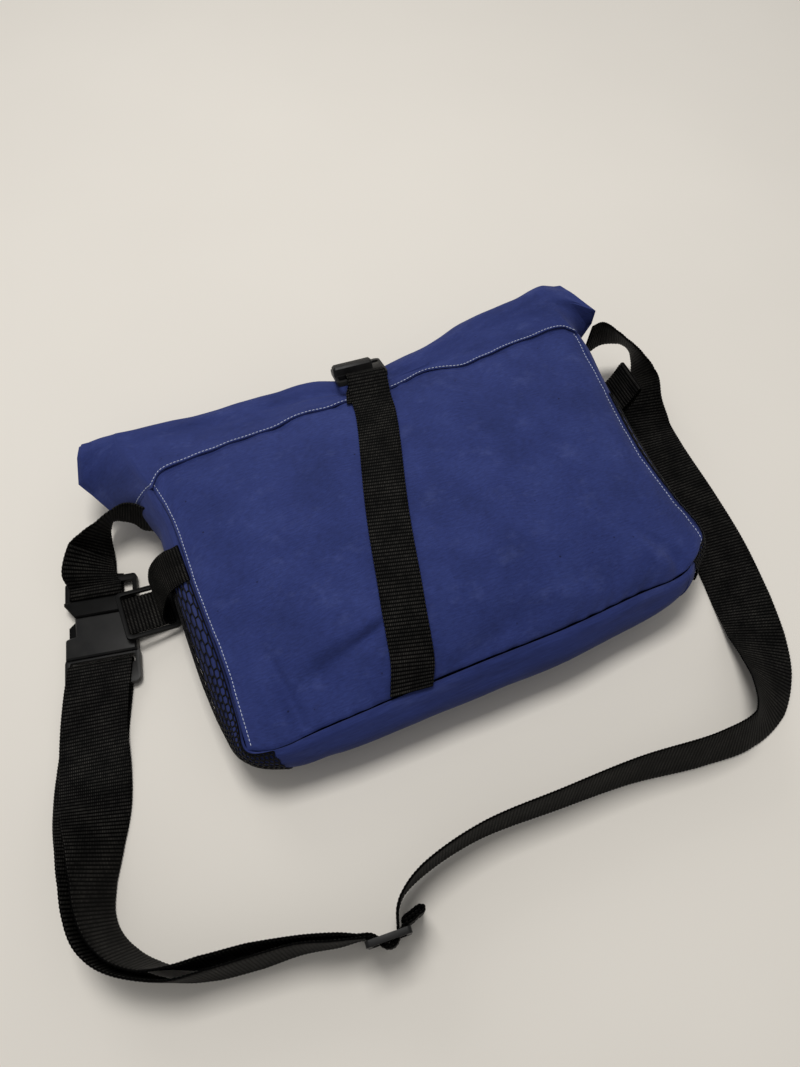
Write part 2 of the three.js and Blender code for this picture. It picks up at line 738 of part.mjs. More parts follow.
// The cloth body
function addBody() {
  const seamLeft = LEFT_SEAM_ROW / LAST_ROW;
  const seamRight = RIGHT_SEAM_ROW / LAST_ROW;
  const front = gridNet(PANEL_GRID.columns, PANEL_GRID.rows);
  addPiece("front_panel", "cloth", thicken(front, panelPoint, under(panelPoint, CLOTH)));
  const walls = [
    ["gusset_left", 0, seamLeft - SEAM_GAP_SHARE, 13],
    ["bottom_panel", seamLeft + SEAM_GAP_SHARE, seamRight - SEAM_GAP_SHARE, 16],
    ["gusset_right", seamRight + SEAM_GAP_SHARE, 1, 14],
  ];
  for (const [name, from, to, columns] of walls) {
    const surface = wallSurface(from, to);
    addPiece(name, "cloth", thicken(gridNet(columns, WALL_ROWS), surface, under(surface, CLOTH)));
  }
  const outline = new THREE.Shape();
  const turns = 2 * LAST_ROW;
  for (let i = 0; i <= turns; i++) {
    const edge = backCurve.getPoint(i / turns);
    const inward = new THREE.Vector2(edge.x, edge.y).multiplyScalar(BACK_PANEL_SHARE);
    if (i === 0) outline.moveTo(inward.x, inward.y);
    else outline.lineTo(inward.x, inward.y);
  }
  addPiece("back_panel", "cloth", plate(outline, 0, CLOTH));
  const columns = 2 * (COLLAR_COLUMNS.wide + COLLAR_COLUMNS.side);
  const rows = COLLAR_PATH.length - 1;
  const collar = gridNet(columns, rows, true);
  addPiece("rolled_collar", "cloth", thicken(collar, collarPoint, collarInside(columns, rows)));
}

// The net pockets on both sides, over the wall from its bottom seams to just under the side tabs
function addNetPockets() {
  const net = honeycombNet(NET_CELLS.columns, NET_CELLS.rows, NET_CELLS.open);
  for (const { name, low_row: lowRow, high_row: highRow, outward } of POCKETS) {
    const round = (u) => lerp(lowRow, highRow, u) / LAST_ROW;
    const surface = (u, v) => wallPoint(round(u), lerp(POCKET_UP.from, POCKET_UP.to, v));
    const inner = under(surface, outward * -GAP);
    const outer = under(surface, outward * -(GAP + NET));
    addPiece(name, "net", thicken(net, outer, inner));
  }
}

// Places a row of the slider's own frame: along the strap, off its middle plane.
function sliderPoint(along, off) {
  const turn = radians(SLIDER.turn_deg);
  const way = new THREE.Vector3(-Math.cos(turn), -Math.sin(turn), 0);
  const inward = new THREE.Vector3(way.y, -way.x, 0);
  const centre = new THREE.Vector3(SLIDER.x, SLIDER.y, SLIDER.z);
  return centre.addScaledVector(way, along).addScaledVector(inward, off);
}

const buckleTurn = radians(BUCKLE.turn_deg);
const buckleAcross = new THREE.Vector3(Math.cos(buckleTurn), Math.sin(buckleTurn), 0);
const buckleUp = new THREE.Vector3(-Math.sin(buckleTurn), Math.cos(buckleTurn), 0);

// A point of the buckle's own frame: a length from its lower end, and aside from its middle line.
function bucklePoint(length, z, aside = 0) {
  const base = new THREE.Vector3(BUCKLE.x, BUCKLE.y, z);
  return base.addScaledVector(buckleUp, length).addScaledVector(buckleAcross, aside);
}

// Stations of webbing going half round a bar of the buckle, from above it to below.
function roundBar(centreLength, reach, side, aside = 0) {
  const middle = (BUCKLE_Z.frame_low + BUCKLE_Z.frame_high) / 2;
  return Array.from({ length: WRAP_STEPS + 1 }, (_, i) => {
    const turn = (Math.PI * i) / WRAP_STEPS;
    const length = centreLength + reach * Math.sin(turn);
    return { place: bucklePoint(length, middle + BAR_WRAP.rise * Math.cos(turn), aside), side };
  });
}

// The shoulder strap: one length of webbing from the right side through the slider, round the buckle and back
function addShoulderStrap() {
  const down = new THREE.Vector3(0, 0, -1);
  const threaded = (along, off) => ({ place: sliderPoint(along, off), side: down });
  const running = SLIDER_THREAD.map((row) => threaded(row.along, row.running));
  const returning = SLIDER_THREAD.map((row) => threaded(row.along, row.returning));
  const stub = STUB.map((row) => threaded(row.along, row.off));
  const onBar = roundBar(BAR_WRAP.female_centre, BAR_WRAP.female_reach, buckleAcross);
  const { length, top_z: topZ, below_z: belowZ, aside } = STRAP_LEAD;
  const top = { place: bucklePoint(length, topZ, aside), side: buckleAcross };
  const below = { place: bucklePoint(length, belowZ, aside), side: buckleAcross };
  const stations = [
    ...edged(RIGHT_ANCHOR),
    ...leaning(RIGHT_RUN, SHOULDER_WIDTH),
    ...running,
    ...leaning(LEFT_TOP_RUN, SHOULDER_WIDTH),
    top,
    ...onBar,
    below,
    ...leaning(LEFT_UNDER_RUN, SHOULDER_WIDTH),
    ...returning.reverse(),
    ...stub,
  ];
  addPiece("shoulder_strap", "webbing", webbing(stations, SHOULDER_WIDTH, 2));
}

function addSlider() {
  const { length, height, thick } = SLIDER;
  const frame = roundShape(-length / 2, -height / 2, length / 2, height / 2, 2);
  const slotHigh = height / 2 - SLIDER_RAIL;
  const slotHalf = (length / 2 - SLIDER_END_BAR - SLIDER_MIDDLE_BAR / 2) / 2;
  for (const side of [-1, 1]) {
    const slotMiddle = (side * (length / 2 - SLIDER_END_BAR + SLIDER_MIDDLE_BAR / 2)) / 2;
    frame.holes.push(roundHole(slotMiddle - slotHalf, -slotHigh, slotMiddle + slotHalf, slotHigh, 1));
  }
  const slider = addPiece("strap_slider", "plastic", plate(frame, -thick / 2, thick / 2));
  slider.rotation.set(Math.PI / 2, 0, radians(SLIDER.turn_deg), "ZYX");
  slider.position.set(SLIDER.x, SLIDER.y, SLIDER.z);
}

// The side-release buckle, fastened: its two halves and the short anchor strap
function addBuckle() {
  const group = new THREE.Group();
  group.position.set(BUCKLE.x, BUCKLE.y, 0);
  group.rotation.z = buckleTurn;
  bag.add(group);
  const half = BUCKLE.width / 2;
  const { low, high, frame_low: frameLow, frame_high: frameHigh } = BUCKLE_Z;

  const strapFrame = roundShape(-half, 0, half, FEMALE_SLOT_END + 4, 4);
  strapFrame.holes.push(roundHole(-half + FRAME_WALL, FEMALE_BAR, half - FRAME_WALL, FEMALE_SLOT_END, 1.5));
  const body = new THREE.Shape();
  body.moveTo(-BODY_HALF, FEMALE_SLOT_END + 1.5);
  body.lineTo(BODY_HALF, FEMALE_SLOT_END + 1.5);
  body.lineTo(BODY_HALF, FEMALE_WIDE_END - 1);
  body.lineTo(BODY_HALF - 1, FEMALE_WIDE_END);
  body.lineTo(NECK_HALF - 0.5, FEMALE_WIDE_END + 1);
  body.lineTo(NECK_HALF, FEMALE_END);
  body.lineTo(-NECK_HALF, FEMALE_END);
  body.lineTo(-NECK_HALF + 0.5, FEMALE_WIDE_END + 1);
  body.lineTo(-BODY_HALF + 1, FEMALE_WIDE_END);
  body.lineTo(-BODY_HALF, FEMALE_WIDE_END - 1);
  const inside = roundShape(-NECK_HALF - 1, PRONG_END - 1, NECK_HALF + 1, FEMALE_END + 2, 0.8);
  const female = toSolid(plate(strapFrame, frameLow, frameHigh))
    .add(toSolid(plate(body, low, high, 1)))
    .subtract(toSolid(plate(inside, frameLow - INSIDE_CLEARANCE, frameHigh + INSIDE_CLEARANCE)));
  addPiece("buckle_female", "plastic", fromSolid(female), group);

  const base = roundShape(-half, MALE_SHOULDER - 2, half, MALE_END, 2.4);
  base.holes.push(roundHole(-half + FRAME_WALL, MALE_SLOT.from, half - FRAME_WALL, MALE_SLOT.to, 1.2));
  const shoulder = new THREE.Shape();
  shoulder.moveTo(-NECK_HALF, MALE_START);
  shoulder.lineTo(NECK_HALF, MALE_START);
  shoulder.lineTo(half, MALE_SHOULDER - 1);
  shoulder.lineTo(half, MALE_SHOULDER + 1);
  shoulder.lineTo(-half, MALE_SHOULDER + 1);
  shoulder.lineTo(-half, MALE_SHOULDER - 1);
  let male = toSolid(plate(base, frameLow, frameHigh)).add(toSolid(plate(shoulder, low, high, 1)));
  for (const side of [-1, 1]) {
    const prong = new THREE.Shape();
    prong.moveTo(side * (NECK_HALF - PRONG_INSET), MALE_START + 3);
    prong.lineTo(side * (NECK_HALF - 0.6), MALE_START + 3);
    prong.lineTo(side * (NECK_HALF - 0.6), FEMALE_END - 1);
    const tab = { x: side * (BODY_HALF + 1), y: FEMALE_END - 4 };
    prong.quadraticCurveTo(tab.x, tab.y, side * (BODY_HALF - 1.6), FEMALE_WIDE_END + 1);
    prong.lineTo(side * (NECK_HALF - 0.2), FEMALE_WIDE_END + 0.6);
    prong.lineTo(side * (NECK_HALF - 1), PRONG_END);
    prong.lineTo(side * (NECK_HALF - PRONG_INSET), PRONG_END);
    male = male.add(toSolid(plate(prong, frameLow, frameHigh)));
  }
  const tongue = roundShape(-TONGUE_HALF, PRONG_END + 4, TONGUE_HALF, MALE_START + 3, 0.8);
  male = male.add(toSolid(plate(tongue, frameLow, frameHigh)));
  addPiece("buckle_male", "plastic", fromSolid(male), group);

  const side = buckleAcross.clone().negate();
  const wrap = roundBar(BAR_WRAP.male_centre, BAR_WRAP.male_reach, side, ANCHOR_ASIDE).reverse();
  const below = { place: bucklePoint(ANCHOR_LEAD.length, ANCHOR_LEAD.z, ANCHOR_ASIDE), side };
  const stations = [...edged(LEFT_ANCHOR), below, ...wrap, ...edged(ANCHOR_TAIL)];
  addPiece("anchor_strap_left", "webbing", webbing(stations, ANCHOR_WIDTH, 2));
}

// Webbing tabs, and the ring and strap end on the left one
function addTabs() {
  const tipped = (row) => {
    const side = new THREE.Vector3(0, Math.cos(radians(row.lean)), Math.sin(radians(row.lean)));
    return { place: vector(row), side };
  };
  addPiece("side_tab_left", "webbing", webbing(edged(LEFT_TAB), CLOSURE_WIDTH, 2));
  addPiece("side_tab_right", "webbing", webbing(RIGHT_TAB.map(tipped), CLOSURE_WIDTH, 2));
  addPiece("ring_strap_left", "webbing", webbing(RING_STRAP.map(tipped), CLOSURE_WIDTH, 2));

  const { wide, long, thick, bar } = RING_SIZE;
  const frame = roundShape(-wide / 2, -long / 2, wide / 2, long / 2, 3);
  frame.holes.push(roundHole(-wide / 2 + bar, -long / 2 + bar, wide / 2 - bar, long / 2 - bar, 1.5));
  const ring = addPiece("side_ring_left", "plastic", plate(frame, -thick / 2, thick / 2));
  ring.rotation.y = radians(SIDE_RING.tip_deg);
  ring.position.set(SIDE_RING.x, SIDE_RING.y, SIDE_RING.z);
}

// Places a point of the closure buckle's own frame: along it from its near bar, and above its middle plane.
function topBucklePoint(along, above, aside) {
  const { x, y, z, turn_deg: turn, tip_deg: tip } = TOP_BUCKLE;
  const point = new THREE.Vector3(aside, along, above);
  point.applyEuler(new THREE.Euler(radians(-tip), 0, radians(turn), "ZXY"));
  return point.add(new THREE.Vector3(x, y, z));
}

// The closure: its strap up the front, its buckle over the roll and the plain strap behind
function addClosure() {
  const strapTurn = radians(CLOSURE_WRAP.turn_deg);
  const across = topBucklePoint(Math.sin(strapTurn), 0, Math.cos(strapTurn)).sub(topBucklePoint(0, 0, 0));
  const raised = under(panelPoint, -(GAP + WEBBING));
  const ups = Array.from({ length: CLOSURE.stations + 1 }, (_, i) => (CLOSURE.up_end * i) / CLOSURE.stations);
  const stations = ups.map((up) => {
    const middle = closureAcross(up);
    const left = panelPoint(middle - CLOSURE_EDGE.across, clamp(up - CLOSURE_EDGE.up, 0, 1));
    const right = panelPoint(middle + CLOSURE_EDGE.across, clamp(up + CLOSURE_EDGE.up, 0, 1));
    const side = right.sub(left).normalize();
    return { place: raised(middle, up), side: side.lerp(across, up * up) };
  });
  const { aside, lead, reach, rise } = CLOSURE_WRAP;
  const near = { place: topBucklePoint(lead, rise, aside), side: across };
  const wrap = Array.from({ length: WRAP_STEPS + 1 }, (_, i) => {
    const angle = (Math.PI * i) / WRAP_STEPS;
    return { place: topBucklePoint(reach * Math.sin(angle), rise * Math.cos(angle), aside), side: across };
  });
  const plain = (row) => ({ place: vector(row), side: across });
  stations.push(...CLOSURE_RISE.map(plain), near, ...wrap, ...CLOSURE_TAIL.map(plain));
  addPiece("closure_strap", "webbing", webbing(stations, CLOSURE_WIDTH, 2));

  const { left, right, end } = TOP_BUCKLE;
  const { half_thick: halfThick, bar, rail, far_bar: farBar } = TOP_FRAME;
  const frame = roundShape(left, -bar, right, end, 3);
  frame.holes.push(roundHole(left + rail, bar, right - rail, TOP_BLOCK.from - 1, 1));
  frame.holes.push(roundHole(left + rail, TOP_BLOCK.to + 1, right - rail, end - farBar, 1));
  const block = roundShape(left, TOP_BLOCK.from, TOP_BLOCK.right, TOP_BLOCK.to, 2);
  const blockPlate = plate(block, TOP_BLOCK.low, TOP_BLOCK.high, 1.2);
  const buckle = toSolid(plate(frame, -halfThick, halfThick)).add(toSolid(blockPlate));
  const mesh = addPiece("closure_buckle", "plastic", fromSolid(buckle));
  mesh.rotation.set(radians(-TOP_BUCKLE.tip_deg), 0, radians(TOP_BUCKLE.turn_deg), "ZXY");
  mesh.position.set(TOP_BUCKLE.x, TOP_BUCKLE.y, TOP_BUCKLE.z);

  addPiece("closure_strap_back", "webbing", webbing(BACK_STRAP.map(plain), CLOSURE_WIDTH, 3));
}

addBody();
addNetPockets();
addShoulderStrap();
addSlider();
addBuckle();
addTabs();
addClosure();

export default bag;
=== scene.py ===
"""Looks of a roll-top messenger bag that lies on its back.

Sizes are millimetres in the part's own frame, turned into metres where a mesh is made.
"""

import math

import bmesh
import bpy
import numpy as np
from mathutils import Matrix, Vector


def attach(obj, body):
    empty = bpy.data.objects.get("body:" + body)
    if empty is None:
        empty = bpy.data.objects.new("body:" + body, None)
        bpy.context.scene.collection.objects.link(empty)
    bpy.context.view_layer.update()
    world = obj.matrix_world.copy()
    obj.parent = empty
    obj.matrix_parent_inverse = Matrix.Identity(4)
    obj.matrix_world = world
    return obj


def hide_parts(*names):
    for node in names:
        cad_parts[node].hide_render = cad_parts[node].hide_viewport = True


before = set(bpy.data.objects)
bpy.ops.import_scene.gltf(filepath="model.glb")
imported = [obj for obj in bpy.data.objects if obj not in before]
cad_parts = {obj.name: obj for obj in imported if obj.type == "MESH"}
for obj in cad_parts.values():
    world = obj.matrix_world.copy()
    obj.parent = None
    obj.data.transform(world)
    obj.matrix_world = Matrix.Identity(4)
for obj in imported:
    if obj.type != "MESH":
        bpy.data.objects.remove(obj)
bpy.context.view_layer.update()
scene = bpy.context.scene

MM = 0.001
CLOTH = 1.5
COLLAR_CLOTH = 1.2
WEBBING = 1.5
SHOULDER_WIDTH = 40
CLOSURE_WIDTH = 25
PANEL_WIDE = 300
PANEL_HIGH = 188
RIB_PITCH = 2.1
RIB_STEPS = 6
STITCH_PITCH = 2.4
STITCH_LENGTH = 2.15
STITCH_RADIUS = 0.28
STITCH_INSET = 2.8
SEWN_GAP = 0.5
TINY = 1e-12

# The photo's height and the focal length of the camera that was fitted to it, in pixels
IMAGE_HEIGHT = 1067
FOCAL_PIXELS = 800


def table(columns, rows):
    """Columns of numbers, by name."""
    return dict(zip(columns.split(), np.array(rows, float).T))


# The wall round the bag, from the top of its left side, round the bottom, to the top of its right side
WALL = table("front_x front_y front_z back_x back_y bulge", [
    (-146, 80, 58, -142, 88, 16.5),
    (-141.5, 55, 57, -142, 60, 11.5),
    (-141.5, 10, 55, -142, 15, 14),
    (-140.5, -45, 51, -141, -40, 15),
    (-142, -78, 47, -136, -64, 14),
    (-143, -95, 45, -126, -76, 13),
    (-130, -100, 45, -112, -80, 17),
    (-100, -100.5, 46.5, -90, -80, 21),
    (-50, -100.5, 48, -48, -80, 23),
    (0, -101, 49, 0, -80, 23),
    (50, -101.5, 48, 48, -80, 23),
    (100, -99.5, 46.5, 92, -80, 21),
    (137, -97.5, 45, 116, -80, 17),
    (146.5, -87.5, 45, 131, -75, 17),
    (157, -81, 47, 140, -62, 14),
    (152, -52, 53, 144, -40, 13),
    (149, -15, 56, 146, 0, 15),
    (151.5, 30, 60, 147, 40, 15),
    (154, 62, 63.5, 147, 65, 14),
    (155, 80, 66, 147, 88, 12),
])
BACK_EDGE_Z = 1.2
LEFT_CORNER_ROW = 5
LEFT_SEAM_ROW = 6
RIGHT_SEAM_ROW = 12
RIGHT_CORNER_ROW = 13
LAST_ROW = len(WALL["bulge"]) - 1

# The rippled seam between the front panel and the rolled collar, from left to right
TOP_SEAM = [
    (-146, 80, 58), (-138, 89, 59), (-118, 89, 62), (-84, 87, 67), (-62, 84.5, 70),
    (-45, 85.5, 73), (-22, 81.5, 76), (0, 80, 77), (22, 80.5, 77), (45, 85, 75.5),
    (66, 80.5, 74), (86, 83, 73), (118, 86, 71), (146, 87, 69), (155, 80, 66),
]
PANEL_CROWN = 17
PANEL_ROUNDNESS = 2.8
FOLD_FADE = 4

# Dents and folds of the front panel: place, direction, reach along and across, height
FOLDS = table("across up turn_deg along wide height", [
    (0.3, 0.34, 62, 26, 9, -1.6),
    (0.2, 0.16, 20, 34, 11, -1.4),
    (0.6, 0.1, -12, 40, 10, -1.3),
    (0.24, 0.93, 78, 16, 9, 1.8),
    (0.72, 0.93, 100, 16, 9, -1.8),
    (0.88, 0.3, 50, 36, 12, -1.6),
])

# The top edge of the rolled collar, from its left ear to its right one
ROLL_LINE = table("x y z", [
    (-195, 132.5, 53), (-181, 132, 56), (-137, 126, 58), (-97, 118, 62), (-57, 112.5, 67),
    (-27, 106, 72), (-12, 98.5, 74.5), (6, 96, 75), (28, 97, 77), (52, 101, 78),
    (88, 110, 78), (122, 114.5, 78), (149, 118, 78), (163, 116, 75), (180, 108, 70),
])
COLLAR_PATH = table("flat dy dz left_tip right_tip left_fore right_fore left_drop", [
    (0, -9, -3, -176, 168, 0, 0, 0),
    (0.33, -9, -3, -215, 174, 4, 6, 33),
    (0.7, -9, -3, -197, 178.5, 5, 8, 17),
    (1, -9, -3, -191, 175, 9, 11, 12),
    (1, -3, -2.6, -185.5, 167, 2.4, 4, 3),
    (1, 1.5, -4.6, -182, 163, 0, 0, 0),
    (1, 4.5, -11, -182, 163, 0, 0, 0),
    (1, 8, -22, -184, 165, 0, 0, 0),
    (1, 9, -31, -184, 166, 0, 0, 0),
    (1, 5.6, -35.5, -184, 166, 0, 0, 0),
    (1, 2, -32.5, -184, 166, 0, 0, 0),
    (1, 0, -25, -183, 165, 0, 0, 0),
    (1, -2.5, -15.5, -182, 164, 0, 0, 0),
])
COLLAR_FRONT_LEFT = -157
COLLAR_FRONT_RIGHT = 144
ROLL_HALF = 2
CORNER_EASE = 0.7

# Webbing that stands off the surface, by its outer and inner edges
RIGHT_ANCHOR = [
    ((168, 81, 66), (171, 86, 26)),
    ((177, 81, 66), (188, 90, 28)),
    ((184, 74, 62), (203, 87, 26)),
    ((190, 68, 57), (209, 85, 22)),
    ((197, 65, 50), (213, 83, 16)),
    ((204, 60, 42), (214, 78, 7)),
    ((207.5, 50.5, 36), (209, 69, 2.5)),
    ((207, 36, 21), (182, 53, 4)),
    ((214, 22, 3.6), (175.5, 32, 2.2)),
]
LEFT_ANCHOR = [
    ((-150.5, 73, 46.5), (-157, 76.5, 15)),
    ((-155.8, 76.4, 46), (-163.3, 80.4, 14)),
    ((-160.4, 81.2, 46), (-167.7, 87.2, 14)),
    ((-166.8, 85, 45), (-174.8, 93, 13)),
    ((-175, 85.8, 41), (-181.5, 97.6, 10)),
    ((-187.7, 82.4, 38.5), (-184.9, 93.3, 7)),
    ((-199.8, 81.2, 34), (-186.5, 86.1, 4)),
    ((-209.9, 81.2, 25), (-188.1, 74.4, 2.6)),
    ((-218, 76.9, 10), (-189.9, 62.7, 1.8)),
]
ANCHOR_TAIL = [
    ((-219, 64.5, 19), (-190.2, 58.5, 8.8)),
    ((-213, 72, 29), (-189.6, 66, 7.4)),
    ((-206.9, 77.8, 35), (-189.2, 72, 6.5)),
]
ANCHOR_WIDTH = 33
LEFT_TAB = [
    ((-142.4, 36, 56), (-142, 10.5, 55.4)),
    ((-147, 36.6, 53.5), (-146.6, 11, 53)),
    ((-151.5, 37.3, 50.5), (-151, 13.5, 48.5)),
    ((-158, 38.3, 44), (-157.5, 15.5, 40)),
    ((-165, 38.1, 34), (-163.5, 16.5, 27)),
    ((-168.3, 36.4, 25), (-167.5, 13, 17)),
    ((-168, 36.4, 15), (-167.5, 12.2, 9)),
    ((-164, 36.4, 6.2), (-163.8, 12, 4)),
    ((-157, 36.4, 4.4), (-157, 12, 2.8)),
]

# Webbing that rests on the surface: middle line, lift of its lower edge, lean
RIGHT_RUN = [
    (193.5, 3, 0.5, 0), (192, -41, 0.5, 0), (189, -79, 0.5, 0), (182, -117, 0.5, 0),
    (175, -142, 0.5, -8), (166, -163, 0.5, -24), (152, -181, 0.5, -43), (131, -193, 0.5, -68),
    (101, -193, 0.5, -75), (54, -186, 0.5, -79), (8, -183, 0.5, -82), (-42, -180.6, 0.5, -85),
    (-78, -186.2, 1.5, -87),
]
LEFT_TOP_RUN = [
    (-130, -198.8, 2, -87), (-147, -193.5, 1.2, -84), (-174, -187, 0.5, -81), (-198, -182.5, 0.5, -82),
    (-213, -178.5, 0.5, -88), (-226, -172, 0.5, -96), (-237, -161.5, 0.5, -100), (-243.5, -149, 0.5, -101),
    (-245, -137, 0.5, -103), (-242.5, -122, 0.5, -109), (-238, -103, 0.5, -124), (-234.6, -83, 0.6, -148),
    (-231.5, -60, 1.5, -169), (-227.7, -38, 3.8, -178),
]
LEFT_UNDER_RUN = [
    (-228, -38, 0.5, 0), (-234, -60, 0.5, -9), (-238.5, -84, 0.5, -28), (-242.5, -104, 0.5, -51),
    (-247.5, -122, 0.5, -68), (-250.5, -138, 0.5, -76), (-250, -150, 0.5, -80), (-245.5, -160.5, 0.5, -83),
    (-239, -168.5, 0.5, -86), (-228, -177, 0.5, -89), (-214, -184.5, 0.5, -92), (-196, -189, 0.5, -97),
    (-174, -192.5, 0.5, -98), (-152, -195.4, 1.2, -96), (-133, -201, 2, -93),
]
# The slider, and the two runs through it: places along it, offsets of the running and the returning webbing
SLIDER = {"centre": (-107.5, -209, 23.2), "turn_deg": -5.4, "drop": 2.4, "drop_along": (5.2, 8.4)}
SLIDER_THREAD = [
    (-13.5, 17.8, 3.4), (-8.4, 11.5, 2.8), (-5.2, 1.4, -1.3), (-2.6, -2.5, -4), (0, -3.2, -4.7),
    (2.6, -2.5, -4), (5.2, 1.4, -1.3), (8.4, 4.1, 2.5), (15, 5.8, 4.1),
]
STUB = [
    (-17.5, 5.1), (-20.4, 6), (-21.1, 7.8), (-18.7, 8.9), (-13.9, 7.5), (-9.9, 6.3), (-9.1, 5.3),
    (-10.5, 4.8), (-14.3, 5.9), (-18.7, 7.1),
]

# The side-release buckle, and the webbing round its two bars: length along it, height and place aside
BUCKLE = {"base": (-215.4, -12.5), "turn_deg": -12.2}
BAR_MIDDLE_Z = 5.2
BAR_RISE = 3.3
STRAP_BAR = {"length": 12.6, "reach": 4.2, "aside": -1.5}
STRAP_OVER_BAR = (-6, 8.4, -4)
STRAP_UNDER_BAR = (-6, 1.3, -4)
ANCHOR_BAR = {"length": 69.5, "reach": -7, "aside": -3.2}
ANCHOR_UNDER_BAR = (78.5, 2, -3.2)
HALF_TURN = np.linspace(0, math.pi, 7)

# Webbing by its middle line and the lean of its width
RIGHT_TAB = [
    (166, 43, 24, 0), (173, 44, 31, 0), (178.5, 44.5, 40, 0), (180.5, 44.5, 46, 0), (182, 44.5, 47.5, 0),
    (183.2, 44.5, 46, 0), (182, 44.5, 38, 0), (176.5, 44, 27.5, 0), (168.5, 43, 20, 0),
]
RING_STRAP = [
    (-192.8, 24.2, 11.6, 0), (-188, 24.2, 11.6, 1), (-182, 24.2, 10.9, 2), (-176.5, 24.2, 10, 3),
    (-170.2, 24.2, 9, 3), (-167, 24.2, 8.6, 3),
]

# The closure strap's middle line, as shares across the front panel at its bottom and top
CLOSURE = {"across": (0.3175, 0.4955), "up_end": 0.9, "stations": 12}
CLOSURE_EDGE = (0.0432, -0.0177)
CLOSURE_FOOT = {"across": 0.0075, "up": 0.13}
CLOSURE_NUDGE = 0.01
CLOSURE_RISE = [(-0.4, 71, 84), (1.2, 79, 86.6)]
CLOSURE_TAIL = [(-0.4, 80.5, 81.8), (-3.2, 72.5, 81.6)]
TOP_BUCKLE = {"base": (1.5, 87, 84.6), "turn_deg": -6, "tip_deg": 30}
CLOSURE_WRAP = {"aside": 1.2, "lead": -2.6, "reach": 5.4, "rise": 3.6, "turn_deg": -7}
BACK_STRAP = [
    (4.6, 112.2, 68.4), (5.4, 113.8, 62), (6, 113.4, 53), (6.4, 111.5, 43), (5.5, 108.5, 30),
    (4, 103.5, 16), (2.5, 98.8, 5), (2, 96.5, 1.4),
]


def unit(vectors):
    return vectors / np.maximum(np.linalg.norm(vectors, axis=-1, keepdims=True), TINY)


def mix(a, b, share):
    return a + (b - a) * share


def hermite(a, b, m, n, w):
    """A smooth way from a to b, leaving at slope m and arriving at slope n."""
    return a + m * w + (3 * (b - a) - 2 * m - n) * w ** 2 + (2 * (a - b) + m + n) * w ** 3


def between(rows, t):
    """Rows mixed evenly at shares of the way through them."""
    place = t * (len(rows) - 1)
    low = np.minimum(place.astype(int), len(rows) - 2)
    share = (place - low).reshape(-1, *[1] * (rows.ndim - 1))
    return mix(rows[low], rows[low + 1], share)


def smooth_step(low, high, value):
    share = np.clip((value - low) / (high - low), 0, 1)
    return share * share * (3 - 2 * share)


def smooth_between(x, xs, ys):
    """A smooth line through a table's values."""
    slopes = np.gradient(ys, xs)
    low = np.clip(np.searchsorted(xs, x) - 1, 0, len(xs) - 2)
    width = xs[low + 1] - xs[low]
    w = np.clip((x - xs[low]) / width, 0, 1)
    return hermite(ys[low], ys[low + 1], slopes[low] * width, slopes[low + 1] * width, w)


def reaches(points):
    """Lengths along a line of points, from its start."""
    steps = np.linalg.norm(np.diff(points, axis=0), axis=1)
    return np.concatenate([[0], np.cumsum(steps)])


class Curve:
    """A smooth open curve through points."""

    SAMPLES = 400

    def __init__(self, points):
        inner = np.array(points, float)
        p = np.vstack([2 * inner[0] - inner[1], inner, 2 * inner[-1] - inner[-2]])
        gap = np.sqrt(np.maximum(np.linalg.norm(np.diff(p, axis=0), axis=1), TINY))[:, None]
        step = np.diff(p, axis=0) / gap
        wide = (p[2:] - p[:-2]) / (gap[:-1] + gap[1:])
        tangent = step[:-1] - wide + step[1:]
        self.count = len(inner)
        self.start = inner[:-1]
        self.end = inner[1:]
        self.leave = tangent[:-1] * gap[1:-1]
        self.arrive = tangent[1:] * gap[1:-1]
        self.places = np.linspace(0, 1, self.SAMPLES)
        self.lengths = reaches(self.at(self.places))

    def segment(self, t):
        """The segments' ends and slopes at shares of the way, and the share of each segment."""
        place = np.clip(np.asarray(t, float), 0, 1) * (self.count - 1)
        low = np.minimum(place.astype(int), self.count - 2)
        return self.start[low], self.end[low], self.leave[low], self.arrive[low], (place - low)[..., None]

    def at(self, t):
        """The point at a share of the way through the curve's points."""
        return hermite(*self.segment(t))

    def slope(self, t):
        """The unit direction at a share of the way through the curve's points."""
        a, b, m, n, w = self.segment(t)
        return unit(m + 2 * (3 * (b - a) - 2 * m - n) * w + 3 * (2 * (a - b) + m + n) * w ** 2)

    def even(self, share):
        """The point at a share of the curve's length."""
        return self.at(np.interp(share, self.lengths / self.lengths[-1], self.places))


RIPPLE_WAVES = 9
RIPPLE_REACH = (0.7, 1.5)
RIPPLE_PHASE = 6.3
RIPPLE_SIZE = 0.7


def ripples(x, y, wavelength, seed):
    """Soft uneven waves, the same each run, about -1 to 1."""
    chance = np.random.default_rng(seed)
    total = np.zeros(np.broadcast(x, y).shape)
    for _ in range(RIPPLE_WAVES):
        turn = chance.uniform(0, 2 * math.pi)
        reach = wavelength * chance.uniform(*RIPPLE_REACH)
        phase = chance.uniform(0, RIPPLE_PHASE)
        along = x * math.cos(turn) + y * math.sin(turn)
        total += np.sin(along * 2 * math.pi / reach + phase)
    return total / math.sqrt(RIPPLE_WAVES) * RIPPLE_SIZE


def slack(x, y, rows):
    """Ripples of several sizes together: height, wavelength and seed of each."""
    return sum(height * ripples(x, y, wavelength, seed) for height, wavelength, seed in rows)


def ridge(distance, height, place, width):
    """A soft ridge at a place across a distance."""
    return height * np.exp(-(((distance - place) / width) ** 2))


